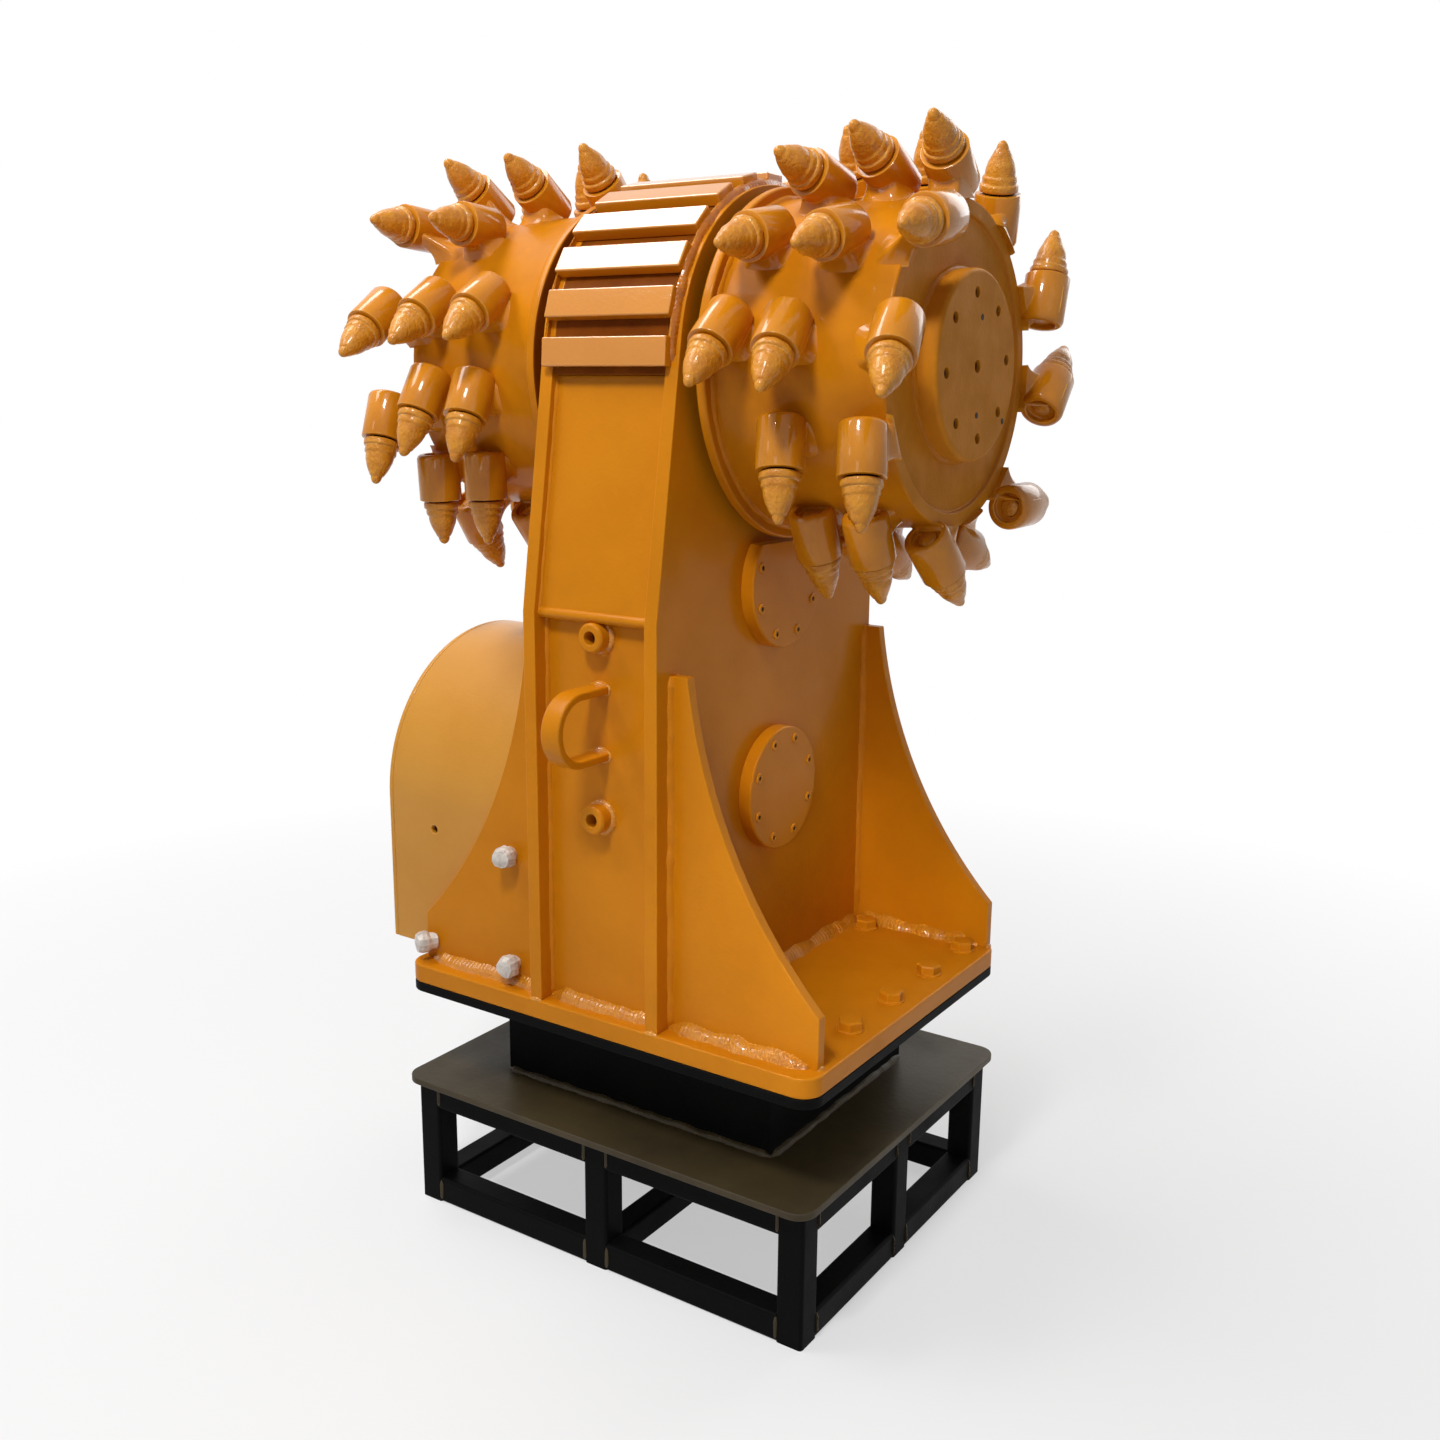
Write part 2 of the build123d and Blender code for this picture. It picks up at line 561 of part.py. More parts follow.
def pick_place(side, angle, distance, lean):
    """Place of a sleeve's mouth, for a leaning pick whose tip lies at an angle and distance on one side."""
    turn = radians(angle)
    attack = radians(ATTACK_ANGLE)
    outward = Vector(0, -cos(turn), sin(turn))
    forward = Vector(0, -sin(turn), -cos(turn))
    upright = forward * cos(attack) + outward * sin(attack)
    along = upright * cos(radians(lean)) + Vector(side * sin(radians(lean)), 0, 0)
    inward = forward * sin(attack) - outward * cos(attack)
    tip = Vector(side * distance, 0, AXIS_Z) + outward * TIP_RADIUS
    return Location(Plane(origin=tip - along * TIP_LENGTH, x_dir=inward, z_dir=along))


def foot_slide(distance, lean):
    """How far a foot slides towards the column so that it lands on the drum."""
    middle = TIP_LENGTH + (FOOT_FRONT + FOOT_BACK) / 2
    inner_edge = distance - sin(radians(lean)) * middle - FOOT_BACK_WIDTH / 2
    return max(0.0, inner_edge + END_FOOT_OVERLAP - SHELL_END)


def drum(name, side, stations):
    """One drum with its flange, shell, end cover, pick holders and picks."""
    along = Pos(0, 0, AXIS_Z) * Rot(0, side * 90, 0)
    envelope = along * drum_envelope()
    x0, x1 = sorted((side * DRUM_START, side * SHELL_START))
    parts["drum_flange_" + name] = [cylinder_x(DRUM_FLANGE_RADIUS, x0, x1, AXIS_Z)]
    parts["drum_shell_" + name] = [along * drum_shell()]
    parts["drum_end_cover_" + name] = [along * end_cover(side)]
    holders = []
    picks = []
    for station in stations:
        for row, entry in zip((INNER_ROW, MIDDLE_ROW, END_ROW), station):
            if entry is None:
                continue
            angle, steps, lean = entry
            distance = row + steps * ROW_STEP
            place = pick_place(side, angle, distance, lean)
            slide = -side * foot_slide(distance, lean)
            holders.append(place * holder(slide) - envelope)
            picks.append(place * pick())
    parts["pick_holders_" + name] = holders
    parts["picks_" + name] = picks


def drums():
    """Drum shaft with a drum on each end."""
    parts["drum_shaft"] = [cylinder_x(SHAFT_RADIUS, -DRUM_START, DRUM_START, AXIS_Z)]
    drum("left", -1, LEFT_PICKS)
    drum("right", 1, RIGHT_PICKS)


def write_parts():
    """Write one file for each node."""
    os.makedirs("parts", exist_ok=True)
    for name, solids in parts.items():
        flat = [solid for item in solids for solid in item.solids()]
        shape = flat[0] if len(flat) == 1 else Compound(children=flat)
        export_step(shape, f"parts/{name}.step")


stand()
base()
column()
gussets()
covers()
front_fittings()
motor_side()
drums()
write_parts()
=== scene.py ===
"""Looks of the excavator milling head on its black stand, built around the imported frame.

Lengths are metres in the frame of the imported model: X along the drum axis, -Y to the narrow
front with the oil ports, +Z up, floor at zero.
"""
import logging
import math
from collections.abc import Iterable, Sequence
from dataclasses import dataclass
from enum import Enum

import bmesh
import bpy
import numpy as np
from mathutils import Matrix, Vector, noise


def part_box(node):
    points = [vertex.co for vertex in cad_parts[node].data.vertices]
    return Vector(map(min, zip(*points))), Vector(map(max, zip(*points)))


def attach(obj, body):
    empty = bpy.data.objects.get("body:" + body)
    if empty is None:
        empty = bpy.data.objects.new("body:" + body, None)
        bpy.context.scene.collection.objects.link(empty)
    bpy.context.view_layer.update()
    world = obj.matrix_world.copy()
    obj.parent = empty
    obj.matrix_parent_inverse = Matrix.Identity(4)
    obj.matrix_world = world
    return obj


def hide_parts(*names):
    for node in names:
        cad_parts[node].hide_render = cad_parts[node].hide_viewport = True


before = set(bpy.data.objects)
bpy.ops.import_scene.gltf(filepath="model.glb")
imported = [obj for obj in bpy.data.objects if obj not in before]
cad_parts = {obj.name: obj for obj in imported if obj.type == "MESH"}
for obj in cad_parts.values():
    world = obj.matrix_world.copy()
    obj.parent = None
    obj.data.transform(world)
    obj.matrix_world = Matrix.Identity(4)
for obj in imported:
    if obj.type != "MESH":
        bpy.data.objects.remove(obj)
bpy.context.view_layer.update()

LOG = logging.getLogger("milling_head")

Colour = tuple[float, float, float]
Profile = Sequence[tuple[float, float]]
Station = tuple[Vector, Vector, Vector]
Point = tuple[float, float, float]

JOINED = 0.00002  # points of the frame closer than this are one
ON_LEVEL = 0.0001  # points of the frame this near to a level are on it
FLAT_ANGLE = 1.0  # faces of the frame that turn by fewer degrees are one flat
EDGE_ANGLE = 32.0  # edges of the frame that turn by more degrees are rounded
EDGE_SPAN = (0.99, 0.86)  # cosine between the true and the rounded normal, on a flat and on an edge
PATCH_SPAN = (0.38, 0.72)  # noise from the first colour to the patch colour
SHEEN_SPAN = (0.3, 0.7)  # noise from the first to the second roughness
WHITE = (1.0, 1.0, 1.0, 1.0)

X = Vector((1.0, 0.0, 0.0))
Y = Vector((0.0, 1.0, 0.0))
Z = Vector((0.0, 0.0, 1.0))


class Body(Enum):
    """Bodies of the frame that a piece can ride on."""

    HEAD = "head"
    DRUMS = "drums"


class Slot(Enum):
    """Material slots of the record, one of which is passed to each piece."""

    YELLOW = "yellow_paint"
    PICK = "pick_paint"
    BLACK = "black_paint"
    PLUG = "plug_metal"
    IRON = "motor_iron"
    STEEL = "shaft_steel"


class Side(Enum):
    """The two sides of the column, with their direction along X."""

    LEFT = -1
    RIGHT = 1

    @property
    def label(self) -> str:
        """Word for this side in node names."""
        return self.name.lower()


class Nodes:
    """Adds and links the nodes of one material or of the world."""

    def __init__(self, tree: bpy.types.NodeTree) -> None:
        """Starts from an empty tree."""
        self.tree = tree
        tree.nodes.clear()

    def add(self, kind: str, inputs: dict | None = None, **settings: object) -> bpy.types.Node:
        """Adds a node.

        Args:
            kind: Blender's name of the node type.
            inputs: socket names or numbers, each with a value or the socket it is linked from.
            settings: properties of the node.

        Returns:
            The new node.
        """
        node = self.tree.nodes.new(kind)
        for key, value in settings.items():
            setattr(node, key, value)
        for key, value in (inputs or {}).items():
            if isinstance(value, bpy.types.NodeSocket):
                self.tree.links.new(value, node.inputs[key])
            else:
                node.inputs[key].default_value = value
        return node

    def noise(self, place: bpy.types.NodeSocket, size: float, detail: float) -> bpy.types.NodeSocket:
        """Noise over the surface.

        Args:
            place: coordinates.
            size: size of one blob in metres.
            detail: finer layers.

        Returns:
            The noise value.
        """
        inputs = {"Vector": place, "Scale": 1 / size, "Detail": detail, "Roughness": 0.6}
        return self.add("ShaderNodeTexNoise", inputs).outputs[0]

    def span(self, value: bpy.types.NodeSocket, low: float, high: float,
             start: float = 0.0, end: float = 1.0) -> bpy.types.NodeSocket:
        """Maps low..high of a value to start..end and clamps it.

        Args:
            value: the value.
            low: value that gives start.
            high: value that gives end.
            start: first result.
            end: last result.

        Returns:
            The mapped value.
        """
        inputs = {"Value": value, "From Min": low, "From Max": high, "To Min": start, "To Max": end}
        return self.add("ShaderNodeMapRange", inputs).outputs[0]

    def blend(self, factor: bpy.types.NodeSocket, first: object, second: object) -> bpy.types.NodeSocket:
        """Mixes two colours.

        Args:
            factor: share of the second colour.
            first: colour or socket.
            second: colour or socket.

        Returns:
            The mixed colour.
        """
        first, second = ((*c, 1.0) if isinstance(c, tuple) else c for c in (first, second))
        node = self.add("ShaderNodeMix", {0: factor, 6: first, 7: second}, data_type="RGBA")
        return node.outputs[2]


@dataclass(frozen=True)
class Finish:
    """Surface of one kind of piece, with its patches, grain and paler edges: partly rubbed paint, partly a
    painted edge highlight.
    """

    name: str
    colour: Colour
    patch_colour: Colour
    edge_colour: Colour
    roughness: tuple[float, float]
    metallic: float = 0.0
    coat: float = 0.0
    coat_roughness: float = 0.12
    coat_ior: float = 1.5
    specular: float = 0.5
    patch_size: float = 0.11
    grain_size: float = 0.005
    grain_depth: float = 0.0003
    edge_width: float = 0.003

    def edges(self, nodes: Nodes) -> bpy.types.NodeSocket:
        """Mask of the outer edges, which take the paler edge colour: rubbed paint and a painted edge
        highlight.

        Args:
            nodes: the material's nodes.

        Returns:
            One on an edge, zero on a flat.
        """
        rounded = nodes.add("ShaderNodeBevel", {"Radius": self.edge_width}, samples=4).outputs[0]
        flat = nodes.add("ShaderNodeNewGeometry").outputs["Normal"]
        turn = nodes.add("ShaderNodeVectorMath", {0: rounded, 1: flat}, operation="DOT_PRODUCT")
        return nodes.span(turn.outputs["Value"], *EDGE_SPAN)

    def material(self) -> bpy.types.Material:
        """Builds the material once.

        Returns:
            The material.
        """
        if self.name in bpy.data.materials:
            return bpy.data.materials[self.name]
        material = bpy.data.materials.new(self.name)
        material.use_nodes = True
        nodes = Nodes(material.node_tree)
        place = nodes.add("ShaderNodeTexCoord").outputs["Object"]
        patches = nodes.noise(place, self.patch_size, detail=5.0)
        grain = nodes.noise(place, self.grain_size, detail=2.0)
        body = nodes.blend(nodes.span(patches, *PATCH_SPAN), self.colour, self.patch_colour)
        # Paler edges: rubbed paint with a painted edge highlight
        colour = nodes.blend(self.edges(nodes), body, self.edge_colour)
        bump = nodes.add("ShaderNodeBump", {"Height": grain, "Distance": self.grain_depth})
        surface = nodes.add("ShaderNodeBsdfPrincipled", {
            "Base Color": colour,
            "Roughness": nodes.span(patches, *SHEEN_SPAN, *self.roughness),
            "Metallic": self.metallic,
            "Specular IOR Level": self.specular,
            "Coat Weight": self.coat,
            "Coat Roughness": self.coat_roughness,
            "Coat IOR": self.coat_ior,
            "Normal": bump.outputs[0],
        })
        nodes.add("ShaderNodeOutputMaterial", {"Surface": surface.outputs[0]})
        return material


# name, colour, patch colour, edge colour (rubbed paint and painted edge highlight), roughness on either
# patch
ENAMEL = Finish("yellow_enamel", (0.60, 0.205, 0.004), (0.54, 0.18, 0.003), (0.66, 0.26, 0.012),
                (0.28, 0.42), coat=0.07, coat_roughness=0.1, specular=0.08)
# Yellower than the column's paint: a painted sheen standing in for the highlight along the guard's roof.
GUARD_ENAMEL = Finish("guard_enamel", (0.60, 0.265, 0.024), (0.54, 0.225, 0.014), (0.66, 0.31, 0.03),
                      (0.26, 0.42), coat=0.4, specular=0.15, patch_size=0.2)
BAR_ENAMEL = Finish("bar_enamel", (0.60, 0.215, 0.006), (0.55, 0.19, 0.005), (0.66, 0.27, 0.015),
                    (0.16, 0.26), coat=0.8, coat_roughness=0.1, coat_ior=1.55, specular=0.3)
DRUM_ENAMEL = Finish("drum_enamel", (0.58, 0.20, 0.004), (0.47, 0.15, 0.003), (0.64, 0.27, 0.02),
                     (0.26, 0.40), coat=0.1, coat_roughness=0.1, specular=0.05, grain_size=0.02)
SLEEVE_ENAMEL = Finish("sleeve_enamel", (0.61, 0.222, 0.006), (0.52, 0.175, 0.004), (0.70, 0.32, 0.03),
                       (0.24, 0.38), coat=0.5, coat_roughness=0.07, specular=0.1, patch_size=0.05)
PICK_ENAMEL = Finish("pick_enamel", (0.65, 0.265, 0.018), (0.49, 0.165, 0.007), (0.76, 0.42, 0.09),
                     (0.24, 0.44), coat=0.3, specular=0.2, patch_size=0.02, grain_size=0.0045,
                     grain_depth=0.0017)
WELD_ENAMEL = Finish("weld_enamel", (0.62, 0.24, 0.012), (0.52, 0.18, 0.008), (0.72, 0.36, 0.05),
                     (0.16, 0.30), coat=0.6, specular=0.12, patch_size=0.03, grain_size=0.005,
                     grain_depth=0.0022)
# Darker brown than the plates: painted shade on the plate rims beside the wear bars.
RIM_PAINTED_SHADE = Finish("rim_painted_shade", (0.45, 0.135, 0.004), (0.30, 0.078, 0.002), (0.60, 0.24, 0.02),
                    (0.14, 0.26), coat=0.4, coat_roughness=0.08, specular=0.12, patch_size=0.02,
                    grain_size=0.006, grain_depth=0.0012)
# Dark brown: painted shade for the sheet between the wear bars and the drum flanges' faces towards the
# column.
GAP_PAINTED_SHADE = Finish("gap_painted_shade", (0.20, 0.05, 0.002), (0.14, 0.032, 0.002), (0.34, 0.10, 0.006),
                    (0.4, 0.55), specular=0.05, patch_size=0.05)
COVER_ENAMEL = Finish("cover_enamel", (0.62, 0.228, 0.014), (0.52, 0.19, 0.013), (0.68, 0.28, 0.03),
                      (0.42, 0.6), specular=0.08, patch_size=0.05, grain_depth=0.0004)
BLACK_SATIN = Finish("black_satin", (0.0025, 0.0025, 0.0024), (0.004, 0.004, 0.0038), (0.012, 0.011, 0.010),
                     (0.45, 0.6), specular=0.04, patch_size=0.08)
# Brown rather than black: a painted sheen for the warm reflection of the yellow head on the plate.
BLACK_PLATE = Finish("black_plate", (0.068, 0.047, 0.019), (0.030, 0.020, 0.008), (0.06, 0.048, 0.030),
                     (0.40, 0.56), specular=0.25, patch_size=0.22, grain_size=0.009)
WRAP_FILM = Finish("wrap_film", (0.70, 0.64, 0.58), (0.42, 0.37, 0.32), (0.80, 0.76, 0.71),
                   (0.24, 0.45), patch_size=0.012, grain_size=0.004, grain_depth=0.0014)
# Near black: painted shade in sockets, bores, holes and the gap round each pick's neck.
RECESS_SHADE = Finish("painted_recess_shade", (0.022, 0.007, 0.002), (0.03, 0.011, 0.004), (0.04, 0.016, 0.006),
                (0.5, 0.65), specular=0.15, patch_size=0.02)
BRIGHT_STEEL = Finish("bright_steel", (0.42, 0.41, 0.40), (0.34, 0.33, 0.32), (0.55, 0.54, 0.53),
                      (0.2, 0.34), metallic=1.0, patch_size=0.03)
CAST_IRON = Finish("cast_iron", (0.06, 0.06, 0.062), (0.045, 0.045, 0.046), (0.1, 0.1, 0.1),
                   (0.45, 0.6), metallic=0.3, grain_size=0.003, grain_depth=0.0006)


@dataclass(frozen=True)
class Box:
    """Lowest and highest corner of a node."""

    low: Vector
    high: Vector

    @classmethod
    def of(cls, node: str) -> "Box":
        """Box of a node of the frame."""
        return cls(*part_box(node))

    @property
    def middle(self) -> Vector:
        """Point halfway between the corners."""
        return (self.low + self.high) / 2

    def face(self, axis: int, sign: int) -> float:
        """Place of the face that looks along an axis, or against it for a sign of -1."""
        return (self.high if sign > 0 else self.low)[axis]


@dataclass(frozen=True)
class WeldStyle:
    """How a hand-laid weld bead looks: its ripples, its uneven width and its thin ends."""

    step: float = 0.0022
    root: float = 0.0012
    pitch: float = 0.0065
    ripple: float = 0.16
    sway: float = 0.35
    sway_length: float = 0.021
    lean: float = 0.22
    lean_length: float = 0.035
    lean_offset: Point = (3.1, 1.7, 5.3)
    crown: float = 0.84
    end_share: float = 0.3
    end_legs: float = 1.6
    sharp: float = 60.0
    turns: tuple[float, ...] = (0.0, 0.25, 0.5, 0.75, 1.0)


WELD = WeldStyle()


class Shape:
    """Points and faces of one piece, gathered from turned, lofted and welded forms."""

    def __init__(self) -> None:
        """Starts empty."""
        self.points: list[Vector] = []
        self.faces: list[tuple[int, ...]] = []

    def loft(self, rings: Sequence[Sequence[Vector]], loop: bool = False) -> None:
        """Skins rings of equal count and closes the ends, or joins last to first.

        Args:
            rings: closed rings of points.
            loop: whether the last ring joins the first one.
        """
        start = len(self.points)
        count = len(rings[0])
        for ring in rings:
            self.points.extend(ring)
        for i in range(len(rings) if loop else len(rings) - 1):
            a = start + i * count
            b = start + (i + 1) % len(rings) * count
            for j in range(count):
                k = (j + 1) % count
                self.faces.append((a + j, a + k, b + k, b + j))
        if not loop:
            last = start + (len(rings) - 1) * count
            self.faces.append(tuple(range(start, start + count)))
            self.faces.append(tuple(range(last, last + count)))

    def turn(self, profile: Profile, place: Matrix, steps: int, loop: bool = False,
             lumps: float = 0.0, lump_size: float = 0.02) -> None:
        """Turns a profile about the local Z axis.

        Args:
            profile: radius and height of each corner.
            place: place of the local frame.
            steps: corners of one ring.
            loop: whether the profile closes on itself, as for a tube.
            lumps: height of surface lumps.
            lump_size: size of one lump.
        """
        rings = []
        for radius, height in profile:
            ring = []
            for step in range(steps):
                angle = math.tau * step / steps
                way = Vector((math.cos(angle), math.sin(angle), 0.0))
                point = place @ (way * radius + Z * height)
                if lumps and radius > lumps:
                    swell = lumps * noise.noise(point / lump_size)
                    point = place @ (way * (radius + swell) + Z * height)
                ring.append(point)
            rings.append(ring)
        self.loft(rings, loop)

    def bead(self, stations: Sequence[Station], leg: float, loop: bool = False) -> None:
        """Lays a rippled weld bead in a corner.

        Args:
            stations: points along the corner, each with the two directions along the faces.
            leg: mean width of the bead on each face.
            loop: whether the bead runs round to its start.
        """
        rings = []
        run = 0.0
        previous = stations[0][0]
        total = sum((b[0] - a[0]).length for a, b in zip(stations, stations[1:]))
        for corner, first, second in stations:
            run += (corner - previous).length
            previous = corner
            end = total if loop else min(run, total - run)
            wave = run / WELD.pitch % 1.0 - 0.5
            size = leg * (1 + WELD.ripple * wave + WELD.sway * noise.noise(corner / WELD.sway_length))
            size *= min(1.0, WELD.end_share + (1 - WELD.end_share) * end / (WELD.end_legs * leg))
            lean = WELD.lean * noise.noise(corner / WELD.lean_length + Vector(WELD.lean_offset))
            ring = [corner - (first + second) * WELD.root]
            for turn in WELD.turns:
                swell = 1.0 if turn in (0.0, 1.0) else WELD.crown
                angle = turn * math.pi / 2
                out = first * math.cos(angle) * (1 + lean) + second * math.sin(angle) * (1 - lean)
                sink = (first * (turn == 1.0) + second * (turn == 0.0)) * WELD.root
                ring.append(corner + out * size * swell - sink)
            rings.append(ring)
        self.loft(rings, loop)

    def line(self, start: Vector, end: Vector, first: Vector, second: Vector, leg: float) -> None:
        """Lays a straight bead from start to end in the corner of the faces along first and second."""
        self.bead(straight(start, end, first, second), leg)

    def hexagon(self, place: Matrix, across: float, height: float, edge: float) -> None:
        """Adds a hexagon head with a chamfered top.

        Args:
            place: place of its seat, with Z along the bolt.
            across: width across the flats.
            height: height of the head.
            edge: chamfer of its top.
        """
        corner = across / math.sqrt(3)
        self.turn([(corner, 0.0), (corner, height - edge), (corner - edge, height)], place, steps=6)

    def piece(self, name: str, finish: Finish, body: Body, slot: Slot, sharp: float = 38.0,
              stands_for: Iterable[str] = ()) -> bpy.types.Object:
        """Makes the piece.

        Args:
            name: name of the piece.
            finish: its surface.
            body: body it rides on.
            slot: material slot of the record; not used.
            sharp: edges that turn more than this many degrees stay sharp.
            stands_for: nodes of the frame that it replaces.

        Returns:
            The object.
        """
        mesh = bpy.data.meshes.new(name)
        mesh.from_pydata(self.points, [], self.faces)
        work = bmesh.new()
        work.from_mesh(mesh)
        bmesh.ops.recalc_face_normals(work, faces=work.faces)
        work.to_mesh(mesh)
        work.free()
        mesh.shade_smooth()
        mesh.set_sharp_from_angle(angle=math.radians(sharp))
        mesh.materials.append(finish.material())
        made = bpy.data.objects.new(name, mesh)
        bpy.context.scene.collection.objects.link(made)
        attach(made, body.value)
        if stands_for:
            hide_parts(*stands_for)
        LOG.info("%s: %d faces", name, len(mesh.polygons))
        return made


def frame_at(origin: Vector, along: Vector, across: Vector) -> Matrix:
    """Place of a local frame.

    Args:
        origin: its origin.
        along: direction of its Z axis.
        across: direction near its X axis.

    Returns:
        The matrix.
    """
    z_way = along.normalized()
    x_way = (across - z_way * across.dot(z_way)).normalized()
    y_way = z_way.cross(x_way)
    turn = Matrix((x_way, y_way, z_way)).transposed().to_4x4()
    return Matrix.Translation(origin) @ turn


def straight(start: Vector, end: Vector, first: Vector, second: Vector) -> list[Station]:
    """Stations of a straight weld.

    Args:
        start: first point of the corner.
        end: last point of the corner.
        first: direction along one face.
        second: direction along the other face.

    Returns:
        The stations.
    """
    count = max(2, round((end - start).length / WELD.step))
    return [(start.lerp(end, i / count), first, second) for i in range(count + 1)]


def ring_weld(place: Matrix, radius: float) -> list[Station]:
    """Stations of a round weld about the local Z axis.

    Args:
        place: place of the circle, with Z away from the face it is on.
        radius: radius of the corner.

    Returns:
        The stations.
    """
    count = round(math.tau * radius / WELD.step)
    turn = place.to_3x3()
    stations = []
    for i in range(count):
        angle = math.tau * i / count
        way = Vector((math.cos(angle), math.sin(angle), 0.0))
        stations.append((place @ (way * radius), turn @ way, turn @ Z))
    return stations


def half_ring(centre: Vector, radius: float) -> list[tuple[Vector, Vector]]:
    """Points over the top of a circle about X, from its front to its rear.

    Args:
        centre: centre of the circle.
        radius: its radius.

    Returns:
        The points, each with its way out.
    """
    count = round(math.pi * radius / WELD.step)
    angles = (math.pi * i / count for i in range(count + 1))
    ways = [Vector((0.0, -math.cos(angle), math.sin(angle))) for angle in angles]
    return [(centre + way * radius, way) for way in ways]


def islands(node: str) -> list[list[Vector]]:
    """Points of each separate solid of a node.

    Args:
        node: name of the node.

    Returns:
        The points, solid by solid.
    """
    work = bmesh.new()
    work.from_mesh(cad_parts[node].data)
    bmesh.ops.remove_doubles(work, verts=work.verts, dist=JOINED)
    left = set(work.verts)
    parts = []
    for seed in list(work.verts):
        if seed not in left:
            continue
        left.discard(seed)
        stack = [seed]
        part = []
        while stack:
            vert = stack.pop()
            part.append(vert.co.copy())
            for edge in vert.link_edges:
                other = edge.other_vert(vert)
                if other in left:
                    left.discard(other)
                    stack.append(other)
        parts.append(part)
    work.free()
    return parts


def dress(node: str, finish: Finish, edge: float = 0.0015) -> None:
    """Gives a node of the frame its finish and rounds its edges.

    Args:
        node: name of the node.
        finish: its surface.
        edge: width of the rounding, or zero for none.
    """
    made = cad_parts[node]
    made.data.materials.clear()
    made.data.materials.append(finish.material())
    LOG.info("%s dressed in %s", node, finish.name)
    if not edge:
        return
    made.data.shade_smooth()
    weld = made.modifiers.new("join", "WELD")
    weld.merge_threshold = JOINED
    flats = made.modifiers.new("flats", "DECIMATE")
    flats.decimate_type = "DISSOLVE"
    flats.angle_limit = math.radians(FLAT_ANGLE)
    rounding = made.modifiers.new("edges", "BEVEL")
    rounding.width = edge
    rounding.segments = 2
    rounding.limit_method = "ANGLE"
    rounding.angle_limit = math.radians(EDGE_ANGLE)
    rounding.use_clamp_overlap = False
    even = made.modifiers.new("even", "WEIGHTED_NORMAL")
    even.weight = 100


@dataclass
class Stand:
    """Black stand of square tube with its top plate and pedestal."""

    tube: float = 0.040
    seam_leg: float = 0.0035
    seam_gap: float = 0.004
    seam_sink: float = 0.0012
    pedestal_leg: float = 0.007

    def dress(self) -> None:
        """Finishes the tubes, the plate and the pedestal."""
        for node in ("stand_corner_legs", "stand_middle_legs", "stand_floor_rails",
                     "stand_top_rails", "stand_cross_rail"):
            dress(node, BLACK_SATIN, edge=0.0)
        dress("stand_top_plate", BLACK_PLATE, edge=0.0012)
        dress("pedestal", BLACK_SATIN, edge=0.002)

    def welds(self) -> None:
        """Lays the bead round the pedestal's foot and the seams of the rails."""
        shape = Shape()
        foot = Box.of("pedestal")
        level = foot.low.z
        for sign in (-1, 1):
            y = foot.high.y * sign
            shape.line(Vector((foot.low.x, y, level)), Vector((foot.high.x, y, level)), Y * sign, Z,
                       self.pedestal_leg)
            x = foot.high.x * sign
            shape.line(Vector((x, foot.low.y, level)), Vector((x, foot.high.y, level)), X * sign, Z,
                       self.pedestal_leg)
        legs = Box.of("stand_corner_legs")
        rails = Box.of("stand_top_rails")
        inner = legs.high - Vector((self.tube, self.tube, 0.0))
        half = self.tube / 2
        for bottom in (0.0, rails.low.z):
            low = Z * (bottom + self.seam_gap)
            high = Z * (bottom + self.tube - self.seam_gap)
            for sign in (-1, 1):
                for x in (-inner.x, -half, half, inner.x):
                    face = Vector((x, sign * (legs.high.y - self.seam_sink), 0.0))
                    shape.line(face + low, face + high, X, Y * sign, self.seam_leg)
                for y in (-inner.y, -half, half, inner.y):
                    face = Vector((sign * (legs.high.x - self.seam_sink), y, 0.0))
                    shape.line(face + low, face + high, Y, X * sign, self.seam_leg)
        shape.piece("stand_welds", BLACK_PLATE, Body.HEAD, Slot.BLACK)


